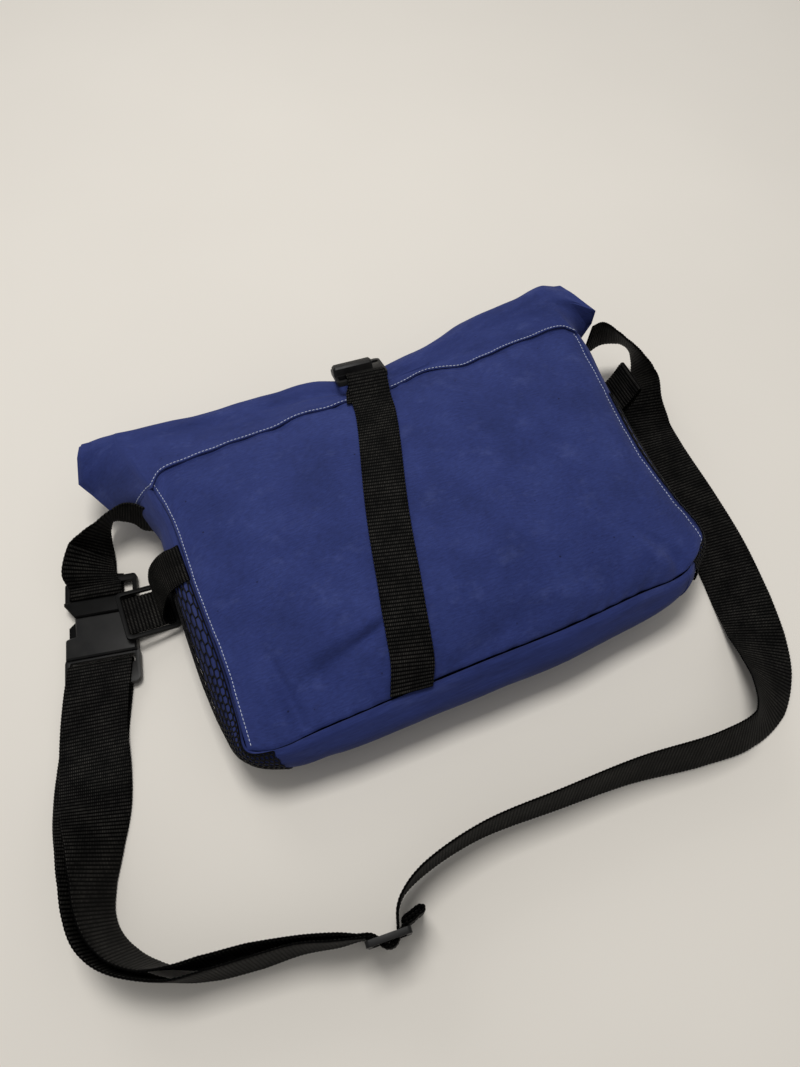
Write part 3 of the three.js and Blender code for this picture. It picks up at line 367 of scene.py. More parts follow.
def oval_bumps(x, y, centres, rows):
    """Oval dents and folds together, each turned about its own centre."""
    total = np.zeros(x.shape)
    shapes = zip(centres, rows["turn_deg"], rows["along"], rows["wide"], rows["height"])
    for centre, turn_deg, reach, width, height in shapes:
        turn = math.radians(turn_deg)
        dx = x - centre[0]
        dy = y - centre[1]
        along = dx * math.cos(turn) + dy * math.sin(turn)
        off = dy * math.cos(turn) - dx * math.sin(turn)
        total += height * np.exp(-((along / reach) ** 2) - (off / width) ** 2)
    return total


# Surfaces of the cloth
front_seam = np.stack([WALL["front_x"], WALL["front_y"], WALL["front_z"]], axis=1)
back_seam = np.stack([WALL["back_x"], WALL["back_y"], np.full(LAST_ROW + 1, BACK_EDGE_Z)], axis=1)
front_curve = Curve(front_seam)
back_curve = Curve(back_seam)
left_edge = Curve(front_seam[LEFT_CORNER_ROW::-1])
bottom_edge = Curve(front_seam[LEFT_CORNER_ROW:RIGHT_CORNER_ROW + 1])
right_edge = Curve(front_seam[RIGHT_CORNER_ROW:])
top_edge = Curve(TOP_SEAM)


def wall_point(round_share, up):
    """The outside of the wall: round_share along its rows, up from the back panel to the front seam."""
    way = front_curve.slope(round_share) + back_curve.slope(round_share)
    out = unit(np.stack([way[..., 1], -way[..., 0], np.zeros_like(up)], axis=-1))
    bulge = np.interp(round_share, np.linspace(0, 1, LAST_ROW + 1), WALL["bulge"])
    swell = bulge * 4 * up * (1 - up)
    flat = mix(back_curve.at(round_share), front_curve.at(round_share), up[..., None])
    return flat + out * swell[..., None]


def panel_patch(across, up):
    """The patch stretched between the front panel's four edges."""
    u, v = across[..., None], up[..., None]
    ruled_across = mix(left_edge.even(up), right_edge.even(up), u)
    ruled_up = mix(bottom_edge.even(across), top_edge.even(across), v)
    low = mix(bottom_edge.start[0], bottom_edge.end[-1], u)
    high = mix(top_edge.start[0], top_edge.end[-1], u)
    return ruled_across + ruled_up - mix(low, high, v)


def panel_point(across, up):
    """The outside of the front panel, crowned by what is in the bag."""
    point = panel_patch(across, up)
    edge = (1 - np.abs(2 * across - 1) ** PANEL_ROUNDNESS) * (1 - np.abs(2 * up - 1) ** PANEL_ROUNDNESS)
    centres = panel_patch(FOLDS["across"], FOLDS["up"])
    folds = oval_bumps(point[..., 0], point[..., 1], centres, FOLDS)
    rise = PANEL_CROWN * edge + np.minimum(1, FOLD_FADE * edge) * folds
    point[..., 2] += rise
    return point


def normals(points, closed=False):
    """Unit normals of a grid of points, rows by columns."""
    if closed:
        du = (np.roll(points, -1, axis=1) - np.roll(points, 1, axis=1)) / 2
    else:
        du = np.gradient(points, axis=1)
    return unit(np.cross(du, np.gradient(points, axis=0)))


# Meshes
CLOTH_SHARP_DEG = 60
WEBBING_SHARP_DEG = 70


def add_object(name, data):
    thing = bpy.data.objects.new(name, data)
    scene.collection.objects.link(thing)
    return thing


def link(name, mesh, material, slot, *nodes):
    """Puts a mesh in the scene as a piece of the bag that stands for the named solids."""
    piece = add_object(name, mesh)
    mesh.materials.append(material)
    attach(piece, "root")
    if nodes:
        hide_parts(*nodes)
    return piece


def build_mesh(name, vertices, faces, uv=None, sharp_deg=None):
    """A smooth-shaded mesh from points and texture places in millimetres."""
    mesh = bpy.data.meshes.new(name)
    mesh.from_pydata((np.asarray(vertices) * MM).tolist(), [], [tuple(f) for f in faces])
    if uv is not None:
        layer = mesh.uv_layers.new(name="cloth")
        corners = np.zeros(len(mesh.loops), np.int32)
        mesh.loops.foreach_get("vertex_index", corners)
        layer.data.foreach_set("uv", (np.asarray(uv)[corners] * MM).astype(np.float32).ravel())
    mesh.shade_smooth()
    if sharp_deg:
        mesh.set_sharp_from_angle(angle=math.radians(sharp_deg))
    return mesh


def wrapped(index):
    """Rows of vertex numbers, each closed by its first one."""
    return np.concatenate([index, index[..., :1]], axis=-1)


def quads(index):
    """Faces of a grid of vertex numbers."""
    a, b, c, d = index[:-1, :-1], index[:-1, 1:], index[1:, 1:], index[1:, :-1]
    return np.stack([a, b, c, d], axis=-1).reshape(-1, 4)


def cloth_piece(node, outer, thickness, uv, closed=False):
    """A closed sheet of cloth under a grid of points on its outside."""
    inner = outer - normals(outer, closed) * thickness
    rows, columns = outer.shape[:2]
    index = np.arange(rows * columns).reshape(rows, columns)
    if closed:
        index = wrapped(index)
    below = index + rows * columns
    faces = [quads(index), quads(below)[:, ::-1]]
    rims = [(index[0], below[0]), (below[-1], index[-1])]
    if not closed:
        rims += [(below[:, 0], index[:, 0]), (index[:, -1], below[:, -1])]
    for first, second in rims:
        faces.append(np.stack([first[1:], first[:-1], second[:-1], second[1:]], axis=-1))
    vertices = np.concatenate([outer, inner]).reshape(-1, 3)
    both = np.tile(uv.reshape(-1, 2), (2, 1))
    mesh = build_mesh(node + "_cloth", vertices, np.concatenate(faces), both, CLOTH_SHARP_DEG)
    return link(node + "_cloth", mesh, CLOTH_MATERIAL, "cloth", node)


def share_grid(columns, rows):
    return np.meshgrid(np.linspace(0, 1, columns + 1), np.linspace(0, 1, rows + 1))


# Materials, with the stops of their colour ramps: place and colour
CLOTH_BLUES = [(0.3, (0.0125, 0.0225, 0.112)), (0.5, (0.0175, 0.0295, 0.14)), (0.72, (0.025, 0.04, 0.168))]
SLUB_TINTS = [(0.3, (0.72, 0.72, 0.75)), (0.7, (1.28, 1.28, 1.22))]
CLOTH_DUST = [(0.54, (0, 0, 0)), (0.78, (0.02, 0.024, 0.045))]
SPECK_TINTS = [(0.025, (0.3, 0.3, 0.35)), (0.055, (1, 1, 1))]
# Webbing yarns: the paler colour is a painted highlight on the rib tops, and the gap colour is painted shade
# in the grooves between the ribs
YARN_DARK = (0.014, 0.0138, 0.0134, 1)
YARN_HIGHLIGHT = (0.03, 0.029, 0.027, 1)
GROOVE_SHADE = (0.0007, 0.0007, 0.0007, 1)
YARN_STRETCH = (500.0, 1000.0, 1.0)
LINT_TINTS = [(0.35, (0.6, 0.6, 0.6)), (0.75, (1.7, 1.66, 1.6))]
PLASTIC_ROUGHNESS = [(0.3, (0.36, 0.36, 0.36)), (0.7, (0.5, 0.5, 0.5))]
THREAD_SHADE = 0.72
FLOOR_SHADES = [(0.3, (0.765, 0.73, 0.672)), (0.7, (0.795, 0.76, 0.7))]


class Look:
    """A material made of nodes that feed its shader."""

    def __init__(self, name, colour, roughness, shine, place="Object"):
        self.material = bpy.data.materials.new(name)
        self.material.use_nodes = True
        self.nodes = self.material.node_tree.nodes
        self.links = self.material.node_tree.links
        self.shader = self.nodes["Principled BSDF"]
        self.put(self.shader, Base_Color=(*colour, 1), Roughness=roughness, Specular_IOR_Level=shine)
        self.place = self.nodes.new("ShaderNodeTexCoord").outputs[place]

    def put(self, node, **values):
        """Sets a node's sockets by name, with _ for a space."""
        for name, value in values.items():
            node.inputs[name.replace("_", " ")].default_value = value

    def feed(self, socket, source):
        self.links.new(source, self.shader.inputs[socket])

    def texture(self, kind, stretch=(1.0, 1.0, 1.0), **values):
        """A texture over the material's places, stretched."""
        mapping = self.nodes.new("ShaderNodeMapping")
        self.put(mapping, Scale=stretch)
        self.links.new(self.place, mapping.inputs["Vector"])
        node = self.nodes.new("ShaderNodeTex" + kind)
        self.links.new(mapping.outputs["Vector"], node.inputs["Vector"])
        self.put(node, **values)
        return node

    def noise(self, **values):
        return self.texture("Noise", **values).outputs["Fac"]

    def ramp(self, source, stops):
        node = self.nodes.new("ShaderNodeValToRGB")
        elements = node.color_ramp.elements
        while len(elements) < len(stops):
            elements.new(0.5)
        for element, (place, colour) in zip(elements, stops):
            element.position = place
            element.color = (*colour, 1)
        self.links.new(source, node.inputs["Fac"])
        return node.outputs["Color"]

    def bump(self, height, strength, distance_mm, before=None):
        node = self.nodes.new("ShaderNodeBump")
        self.put(node, Strength=strength, Distance=distance_mm * MM)
        self.links.new(height, node.inputs["Height"])
        if before:
            self.links.new(before, node.inputs["Normal"])
        return node.outputs["Normal"]

    def blend(self, kind, a, b):
        node = self.nodes.new("ShaderNodeMix")
        node.data_type = "RGBA"
        node.blend_type = kind
        self.put(node, Factor=1.0)
        self.links.new(a, node.inputs["A"])
        self.links.new(b, node.inputs["B"])
        return node.outputs["Result"]


def coated_cloth():
    """Royal-blue coated canvas: matt, with short level slubs, dusty smudges and a few dark specks."""
    look = Look("coated_cloth", (0.024, 0.036, 0.14), 0.8, 0.22, "UV")
    patches = look.noise(Scale=26.0, Detail=5.0, Roughness=0.6)
    slubs = look.noise(stretch=(0.22, 1.0, 1.0), Scale=1100.0, Detail=4.0, Roughness=0.7)
    grain = look.noise(Scale=1500.0, Detail=3.0)
    smudges = look.noise(stretch=(0.8, 1.1, 1.0), Scale=60.0, Detail=9.0, Roughness=0.72)
    specks = look.texture("Voronoi", Scale=70.0).outputs["Distance"]
    woven = look.blend("MULTIPLY", look.ramp(patches, CLOTH_BLUES), look.ramp(slubs, SLUB_TINTS))
    worn = look.blend("ADD", woven, look.ramp(smudges, CLOTH_DUST))
    look.feed("Base Color", look.blend("MULTIPLY", worn, look.ramp(specks, SPECK_TINTS)))
    look.put(look.shader, Sheen_Weight=0.04, Sheen_Roughness=0.6)
    fine = look.bump(grain, strength=0.3, distance_mm=0.15)
    ribs = look.bump(slubs, strength=0.35, distance_mm=0.2, before=fine)
    look.feed("Normal", look.bump(patches, strength=0.2, distance_mm=1.0, before=ribs))
    return look.material


def ribbed_webbing():
    """Black webbing: each rib across it is a row of small yarns, some lit by a painted highlight, with
    painted shade in the grooves between the ribs.
    """
    look = Look("ribbed_webbing", (0.008, 0.008, 0.008), 0.6, 0.03, "UV")
    # The bricks paint highlights on the rib tops and shade in the grooves between them
    yarns = look.texture(
        "Brick", YARN_STRETCH, Scale=1.0, Color1=YARN_DARK, Color2=YARN_HIGHLIGHT, Mortar=GROOVE_SHADE,
        Mortar_Size=0.3, Mortar_Smooth=0.35, Brick_Width=RIB_PITCH / 2, Row_Height=1.05,
    )
    yarns.offset = 0.0
    lint = look.ramp(look.noise(Scale=70.0, Detail=5.0), LINT_TINTS)
    look.feed("Base Color", look.blend("MULTIPLY", yarns.outputs["Color"], lint))
    look.feed("Normal", look.bump(yarns.outputs["Fac"], strength=-0.6, distance_mm=0.3))
    return look.material


def moulded_plastic(name, dark, pale, shine):
    """Dark plastic with a fine moulded grain."""
    look = Look(name, dark, 0.45, shine)
    grain = look.noise(Scale=1500.0, Detail=3.0)
    wear = look.noise(Scale=90.0, Detail=5.0)
    look.feed("Base Color", look.ramp(wear, [(0.35, dark), (0.7, pale)]))
    look.feed("Roughness", look.ramp(wear, PLASTIC_ROUGHNESS))
    look.feed("Normal", look.bump(grain, strength=0.25, distance_mm=0.1))
    return look.material


def thread(name, colour):
    """Twisted sewing thread."""
    look = Look(name, colour, 0.6, 0.15)
    fibres = look.noise(Scale=1200.0, Detail=3.0)
    dark = tuple(THREAD_SHADE * c for c in colour)
    look.feed("Base Color", look.ramp(fibres, [(0.35, dark), (0.65, colour)]))
    look.feed("Normal", look.bump(fibres, strength=0.4, distance_mm=0.1))
    return look.material


def pale_floor():
    """A plain pale surface."""
    look = Look("pale_floor", (0.78, 0.745, 0.69), 0.7, 0.1)
    look.feed("Base Color", look.ramp(look.noise(Scale=3.0, Detail=3.0), FLOOR_SHADES))
    return look.material


CLOTH_MATERIAL = coated_cloth()
WEBBING_MATERIAL = ribbed_webbing()
PLASTIC_MATERIAL = moulded_plastic("moulded_plastic", (0.006, 0.006, 0.0064), (0.011, 0.0107, 0.0104), 0.16)
RING_MATERIAL = moulded_plastic("black_plastic", (0.002, 0.002, 0.002), (0.004, 0.004, 0.004), 0.07)
NET_MATERIAL = thread("net_yarn", (0.003, 0.003, 0.004))
WHITE_THREAD = thread("white_thread", (0.55, 0.6, 0.72))


# The cloth body: small sharp creases of the front panel, as in the table of its folds
CREASES = table("across up turn_deg along wide height", [
    (0.1, 0.12, 97, 26, 4, -3.2),
    (0.068, 0.12, 97, 26, 6, 1.6),
    (0.16, 0.09, 80, 24, 13, -3),
    (0.2, 0.16, 14, 22, 5, -2.2),
    (0.22, 0.215, 10, 22, 6, 1.6),
    (0.275, 0.19, 14, 11, 2.4, -2.4),
    (0.28, 0.225, 14, 11, 3, 1.2),
    (0.5, 0.06, 14, 30, 8, -2.4),
    (0.66, 0.1, 165, 22, 6, 1.6),
    (0.9, 0.09, 118, 20, 4, -2.8),
    (0.86, 0.1, 118, 20, 5, 1.4),
    (0.56, 0.985, 80, 9, 3, 1.2),
    (0.42, 0.985, 105, 9, 3, -1.2),
])
# The panel's sewn edges: depths and heights, and where they are from an edge
EDGE_SINK = {"depth": 0.9, "reach": 1.8}
SIDE_HEM = {"height": 0.35, "rise": (0, 1.5), "fall": (2.2, 4)}
STITCH_GROOVE = {"height": 0.4, "place": STITCH_INSET, "width": 0.8}
TOP_GROOVE = {"height": 1.1, "place": 3.2, "width": 1.4}
# The panel's slack: height, wavelength and seed of its ripples
EDGE_PUCKERS = (0.4, 13, 3)
EDGE_PUCKER_REACH = 9
TOP_PUCKERS = (0.4, 17, 4)
TOP_PUCKER_REACH = 10
PANEL_SLACK = [(0.45, 55, 5), (0.2, 24, 6)]
PANEL_GRID = (200, 140)


def panel_detail(across, up):
    """Height of the panel's sewn edges, puckers, creases and slack over its surface."""
    x = across * PANEL_WIDE
    y = up * PANEL_HIGH
    side = np.minimum(x, PANEL_WIDE - x)
    top = PANEL_HIGH - y
    edge = np.minimum(side, y)
    height = -EDGE_SINK["depth"] * np.clip(1 - edge / EDGE_SINK["reach"], 0, 1) ** 2
    height -= ridge(top, **TOP_GROOVE) + ridge(side, **STITCH_GROOVE)
    hem = smooth_step(*SIDE_HEM["rise"], edge) * (1 - smooth_step(*SIDE_HEM["fall"], side))
    height += SIDE_HEM["height"] * hem
    height += slack(x, y, [EDGE_PUCKERS]) * np.exp(-edge / EDGE_PUCKER_REACH)
    height += slack(x, y, [TOP_PUCKERS]) * np.exp(-top / TOP_PUCKER_REACH)
    centres = np.stack([CREASES["across"] * PANEL_WIDE, CREASES["up"] * PANEL_HIGH], axis=1)
    return height + oval_bumps(x, y, centres, CREASES) + slack(x, y, PANEL_SLACK)


def front_surface(across, up):
    base = panel_point(across, up)
    return base + normals(base) * panel_detail(across, up)[..., None]


def make_front_panel():
    across, up = share_grid(*PANEL_GRID)
    uv = np.stack([across * PANEL_WIDE, up * PANEL_HIGH], axis=-1)
    piece = cloth_piece("front_panel", front_surface(across, up), CLOTH, uv)


WALL_GRID_ROWS = 26
WALL_TOP = 0.99
WALL_ROW_LENGTH = 14.0
WALL_HEIGHT = 50.0
WALL_SLACK = [(0.9, 34), (0.3, 15)]
WALL_SLACK_FADE = 6
WALL_WELT = {"height": 0.9, "place": 0.94, "width": 0.035}
# The walls: wall rows from and to, columns, seed, flat size in metres
WALLS = [
    ("gusset_left", 0, LEFT_SEAM_ROW, 90, 20, (0.21, 0.07)),
    ("bottom_panel", LEFT_SEAM_ROW, RIGHT_SEAM_ROW, 110, 23, (0.27, 0.07)),
    ("gusset_right", RIGHT_SEAM_ROW, LAST_ROW, 90, 26, (0.22, 0.07)),
]


def wall_surface(low_row, high_row, columns, seed):
    """The outside of part of the wall, with its slack and the welt along its front seam."""
    share, up = share_grid(columns, WALL_GRID_ROWS)
    base = wall_point(mix(low_row, high_row, share) / LAST_ROW, up * WALL_TOP)
    along = share * (high_row - low_row) * WALL_ROW_LENGTH
    height = up * WALL_HEIGHT
    rows = [(size, wavelength, seed + i) for i, (size, wavelength) in enumerate(WALL_SLACK)]
    fade = np.minimum(1, WALL_SLACK_FADE * np.minimum(up, 1 - up))
    lift = slack(along, height, rows) * fade + ridge(up, **WALL_WELT)
    return base + normals(base) * lift[..., None], np.stack([along, height], axis=-1)


def make_walls():
    for node, low_row, high_row, columns, seed, flat in WALLS:
        outer, uv = wall_surface(low_row, high_row, columns, seed)
        piece = cloth_piece(node, outer, CLOTH, uv)


BACK_LIFT = 0.15
BACK_RIM_POINTS = 121
BACK_TOP_POINTS = 40
BACK_RINGS = np.linspace(0.02, 0.995, 20)


def make_back_panel():
    """Rings of cloth from the middle of the back out to the foot of the walls."""
    rim = back_curve.at(np.linspace(0, 1, BACK_RIM_POINTS))
    top = mix(rim[-1], rim[0], np.linspace(0, 1, BACK_TOP_POINTS)[1:-1, None])
    rim = np.vstack([rim, top])
    outer = mix(rim.mean(axis=0), rim[None], BACK_RINGS[:, None, None])[:, ::-1]
    outer[..., 2] = BACK_LIFT + CLOTH
    piece = cloth_piece("back_panel", outer, CLOTH, outer[..., :2].copy(), closed=True)


# The collar's faces in order round it, with their columns
COLLAR_FACES = [("front", 90), ("right", 24), ("back", 90), ("left", 24)]
COLLAR_STEPS = 6
COLLAR_SPACING = {"up": 2.6, "across": 3.4}
COLLAR_SLACK = [(0.45, 40, 41), (0.3, 19, 42)]
COLLAR_FADE_ROWS = 8
EAR_FOLD = (0.1, 0.6)
EAR_STIFFNESS = 0.8
MOUTH_FRONT = np.array([0, -1.8, 1.9])
MOUTH_OTHER = np.array([0, 0.5, 0])
MOUTH_RIPPLE = (0.9, 26, 43)


def roll_edge(x):
    """Where the roll's top edge is at places across the bag."""
    return [smooth_between(x, ROLL_LINE["x"], ROLL_LINE[axis]) for axis in "yz"]


def collar_mouth(face, share):
    """The collar's lower edge, round the mouth of the bag."""
    if face == "front":
        line = top_edge.even(mix(share, smooth_step(0, 1, share), CORNER_EASE)) + MOUTH_FRONT
        line[:, 1] += slack(line[:, 0], np.zeros(1), [MOUTH_RIPPLE]) * np.sin(math.pi * share)
        return line
    none = np.zeros_like(share)
    one = np.ones_like(share)
    if face == "right":
        return wall_point(one, 1 - share) + MOUTH_OTHER
    if face == "left":
        return wall_point(none, share) + MOUTH_OTHER
    return mix(wall_point(one, none), wall_point(none, none), share[:, None]) + MOUTH_OTHER


def collar_flat(face, share, row):
    """The collar where its faces lie on the roll's path and its sides are folded into ears."""
    flat, dy, dz = COLLAR_PATH["flat"], COLLAR_PATH["dy"], COLLAR_PATH["dz"]
    out = np.array([0, 0, 1])
    if flat[row] == 1:
        last = min(row + 1, len(flat) - 1)
        ahead = unit(np.array([dy[last] - dy[row - 1], dz[last] - dz[row - 1]]))
        out = np.array([0, -ahead[1], ahead[0]])
    fold = 1 - np.abs(2 * share - 1)
    side = np.full_like(share, ROLL_HALF)
    fore = 0
    drop = 0
    if face == "front":
        x = mix(COLLAR_FRONT_LEFT, COLLAR_FRONT_RIGHT, share)
    elif face == "right":
        x = mix(COLLAR_FRONT_RIGHT, COLLAR_PATH["right_tip"][row], fold)
        side = ROLL_HALF * (1 - 2 * share)
        fore = COLLAR_PATH["right_fore"][row]
    elif face == "back":
        x = mix(COLLAR_FRONT_RIGHT, COLLAR_FRONT_LEFT, share)
        side = -side
    else:
        x = mix(COLLAR_FRONT_LEFT, COLLAR_PATH["left_tip"][row], fold)
        side = ROLL_HALF * (2 * share - 1)
        fore = COLLAR_PATH["left_fore"][row]
        drop = COLLAR_PATH["left_drop"][row]
    y, z = roll_edge(x)
    path = np.stack([x, y + dy[row] - fold * fore, z + dz[row] - fold * drop], axis=-1)
    return path + out * side[:, None]


def ear_share():
    """How near each of the collar's columns is to the fold of an ear."""
    shares = []
    for face, count in COLLAR_FACES:
        fold = 1 - np.abs(2 * np.arange(count) / count - 1)
        shares.append(smooth_step(*EAR_FOLD, fold) if face in ("left", "right") else np.zeros(count))
    return np.concatenate(shares)


def collar_rows():
    """The collar's cage, a row of points round it for each step of its path."""
    columns = [(face, np.arange(count) / count) for face, count in COLLAR_FACES]
    cage = []
    for row, flat in enumerate(COLLAR_PATH["flat"]):
        ring = [mix(collar_mouth(f, s), collar_flat(f, s, row), flat) for f, s in columns]
        cage.append(np.concatenate(ring))
    return np.array(cage)


def collar_surface():
    """The collar's outside: smooth along its path, and crisp where its ears are folded."""
    cage = collar_rows()
    rows, columns = cage.shape[:2]
    place = np.linspace(0, 1, (rows - 1) * COLLAR_STEPS + 1)
    soft = Curve(cage.reshape(rows, -1)).at(place).reshape(-1, columns, 3)
    return mix(soft, between(cage, place), ear_share()[None, :, None])


def make_collar():
    outer = collar_surface()
    rows, columns = outer.shape[:2]
    ups = np.arange(rows) * COLLAR_SPACING["up"]
    up, across = np.meshgrid(ups, np.arange(columns) * COLLAR_SPACING["across"], indexing="ij")
    rise = np.minimum(1, np.arange(rows) / COLLAR_FADE_ROWS)
    fade = rise[:, None] * (1 - EAR_STIFFNESS * ear_share()[None, :])
    outer = outer + normals(outer, True) * (slack(across, up, COLLAR_SLACK) * fade)[..., None]
    uv = np.stack([across, up], axis=-1)
    piece = cloth_piece("rolled_collar", outer, COLLAR_CLOTH, uv, closed=True)
    return outer


# Stitching: a stitch's rings as shares of its half length and radius, then the rows that are sewn
STITCH_RINGS = np.array([(-1, 0.05), (-0.8, 0.75), (0, 1), (0.8, 0.75), (1, 0.05)])
STITCH_SIDES = 6
STITCH_SINK = 0.9
STITCH_SWING = 0.06
STITCH_AHEAD = 0.5
PANEL_ROWS = [("left", STITCH_INSET / PANEL_WIDE, 0.012), ("right", 1 - STITCH_INSET / PANEL_WIDE, 0.05)]
PANEL_ROW_TOP = 0.997
PANEL_ROW_POINTS = 400
PANEL_ROW_NUDGE = 0.002
PANEL_ROW_SEED = 61
COLLAR_STITCH_ROW = 1
COLLAR_STITCH_COLUMNS = np.arange(-14, 97)
COLLAR_STITCH_SEED = 62


def along_line(places, reach, line):
    return np.stack([np.interp(places, reach, line[:, k]) for k in range(3)], axis=1)


def make_stitches(name, line, facing, seed):
    """Stitches along a line of points, each a small capsule with its ends sunk in the cloth."""
    reach = reaches(line)
    count = int(reach[-1] / STITCH_PITCH)
    places = (np.arange(count) + 0.5) * STITCH_PITCH
    centre = along_line(places, reach, line)
    up = unit(along_line(places, reach, facing))
    ahead = along_line(places + STITCH_AHEAD, reach, line)
    behind = along_line(places - STITCH_AHEAD, reach, line)
    chance = np.random.default_rng(seed)
    along = unit(ahead - behind)
    along = unit(along + np.cross(up, along) * chance.normal(0, STITCH_SWING, (count, 1)))
    axes = np.stack([along, np.cross(up, along), up], axis=1)
    rings = len(STITCH_RINGS)
    turn = np.arange(STITCH_SIDES) * 2 * math.pi / STITCH_SIDES
    end_share, around = np.repeat(STITCH_RINGS, STITCH_SIDES, axis=0).T
    forward = end_share * STITCH_LENGTH / 2
    off = np.tile(np.cos(turn), rings) * around * STITCH_RADIUS
    high = (np.tile(np.sin(turn), rings) * around - end_share ** 2 * STITCH_SINK) * STITCH_RADIUS
    vertices = centre[:, None] + np.stack([forward, off, high], axis=1) @ axes
    ring = np.arange(rings * STITCH_SIDES).reshape(rings, STITCH_SIDES)
    faces = quads(wrapped(ring))
    every = (faces[None] + (np.arange(count) * rings * STITCH_SIDES)[:, None, None]).reshape(-1, 4)
    link(name, build_mesh(name, vertices.reshape(-1, 3), every), WHITE_THREAD, "cloth")


def make_panel_stitches():
    for name, across, low in PANEL_ROWS:
        up = np.linspace(low, PANEL_ROW_TOP, PANEL_ROW_POINTS)
        share, high = np.meshgrid(across + np.array([-1, 0, 1]) * PANEL_ROW_NUDGE, up)
        points = front_surface(share, high)
        make_stitches(f"panel_stitches_{name}", points[:, 1], normals(points)[:, 1], PANEL_ROW_SEED)


def make_collar_stitches(outer):
    """A row along the collar's lower edge, over the front and a little down both sides."""
    facing = normals(outer, True)[COLLAR_STITCH_ROW][COLLAR_STITCH_COLUMNS]
    line = outer[COLLAR_STITCH_ROW][COLLAR_STITCH_COLUMNS]
    make_stitches("collar_stitches", line, facing, COLLAR_STITCH_SEED)


# Webbing
def edged(rows):
    """Stations of webbing from its outer and inner edges."""
    return [(mix(outer, inner, 0.5), unit(outer - inner)) for outer, inner in np.array(rows, float)]


def leaning(rows, width):
    """Stations of webbing on the floor: flat at a lean of 0 or 180 degrees, on its edge at 90."""
    leans = np.radians([row[3] for row in rows])
    rise = (width / 2) * np.abs(np.sin(leans)) + (WEBBING / 2) * np.abs(np.cos(leans))
    places = np.array([(x, y, lift + r) for (x, y, lift, _), r in zip(rows, rise)])
    stations = []
    for i, lean in enumerate(leans):
        way = places[min(i + 1, len(rows) - 1)] - places[max(i - 1, 0)]
        flat = unit(np.array([-way[1], way[0], 0.0]))
        stations.append((places[i], flat * math.cos(lean) + np.array([0, 0, math.sin(lean)])))
    return stations


def tipped(rows):
    """Stations of webbing that runs across the bag, its width tipped by an angle."""
    stations = []
    for x, y, z, tip_deg in rows:
        tip = math.radians(tip_deg)
        stations.append((np.array([x, y, z], float), np.array([0, math.cos(tip), math.sin(tip)])))
    return stations


def slider_station(along, off):
    """A station in the slider, by its place along the strap and off towards the bag."""
    turn = math.radians(SLIDER["turn_deg"])
    way = np.array([-math.cos(turn), -math.sin(turn), 0])
    inward = np.array([way[1], -way[0], 0])
    sag = SLIDER["drop"] * smooth_step(*SLIDER["drop_along"], along)
    down = np.array([0, 0, -1.0])
    return np.array(SLIDER["centre"]) + way * along + inward * off + down * sag, down


BUCKLE_TURN = math.radians(BUCKLE["turn_deg"])
BUCKLE_ACROSS = np.array([math.cos(BUCKLE_TURN), math.sin(BUCKLE_TURN), 0])
BUCKLE_UP = np.array([-math.sin(BUCKLE_TURN), math.cos(BUCKLE_TURN), 0])


def buckle_point(length, z, aside):
    """A point by its length along the buckle, height over the floor and place aside."""
    return np.array([*BUCKLE["base"], z]) + BUCKLE_UP * length + BUCKLE_ACROSS * aside


def round_bar(bar, side):
    """Webbing half round a bar of the buckle, from above to below."""
    stations = []
    for turn in HALF_TURN:
        length = bar["length"] + bar["reach"] * math.sin(turn)
        z = BAR_MIDDLE_Z + BAR_RISE * math.cos(turn)
        stations.append((buckle_point(length, z, bar["aside"]), side))
    return stations


# Across the webbing's section, from one edge over the top to the other: place and height
WEB_TOP = [(-1, 0), (-0.985, 0.6), (-0.95, 0.92), (-0.7, 1), (0, 1), (0.7, 1), (0.95, 0.92), (0.985, 0.6)]
WEB_SAMPLES = 40
RIB_FRINGE = 0.3
RIB_LOW = 0.72
RIB_RISE = 0.4


def make_webbing(name, stations, width, node):
    """Ribbed webbing along stations that each give its middle and the way to one edge."""
    curve = Curve([place for place, _ in stations])
    sides = np.array([side for _, side in stations])
    dense = np.linspace(0, 1, WEB_SAMPLES * len(stations))
    reach = reaches(curve.at(dense))
    count = int(reach[-1] / (RIB_PITCH / RIB_STEPS))
    run = np.linspace(0, reach[-1], count + 1)
    t = np.interp(run, reach, dense)
    side = unit(between(sides, t))
    up = unit(np.cross(curve.slope(t), side))
    top = np.array(WEB_TOP)
    section = np.concatenate([top, -top])
    rib = np.abs(np.sin(math.pi * run / RIB_PITCH))
    fringe = RIB_FRINGE * (rib - 0.5)
    across = section[None, :, 0] * (width / 2 + fringe[:, None])
    height = section[None, :, 1] * (WEBBING / 2) * (RIB_LOW + RIB_RISE * rib[:, None])
    centre = curve.at(t)
    vertices = centre[:, None] + side[:, None] * across[..., None] + up[:, None] * height[..., None]
    loop = np.arange(across.size).reshape(across.shape)
    faces = [tuple(f) for f in quads(wrapped(loop))[:, ::-1]]
    faces += [tuple(loop[0]), tuple(loop[-1][::-1])]
    uv = np.stack([np.repeat(run[:, None], len(section), axis=1), across], axis=-1)
    mesh = build_mesh(name, vertices.reshape(-1, 3), faces, uv.reshape(-1, 2), WEBBING_SHARP_DEG)
    link(name, mesh, WEBBING_MATERIAL, "webbing", node)


def make_shoulder_strap():
    running = [slider_station(along, off) for along, off, _ in SLIDER_THREAD]
    returning = [slider_station(along, off) for along, _, off in SLIDER_THREAD]
    stations = (
        edged(RIGHT_ANCHOR) + leaning(RIGHT_RUN, SHOULDER_WIDTH) + running
        + leaning(LEFT_TOP_RUN, SHOULDER_WIDTH)
        + [(buckle_point(*STRAP_OVER_BAR), BUCKLE_ACROSS)] + round_bar(STRAP_BAR, BUCKLE_ACROSS)
        + [(buckle_point(*STRAP_UNDER_BAR), BUCKLE_ACROSS)]
        + leaning(LEFT_UNDER_RUN, SHOULDER_WIDTH) + returning[::-1] + [slider_station(*row) for row in STUB]
    )
    make_webbing("shoulder_strap_webbing", stations, SHOULDER_WIDTH, "shoulder_strap")


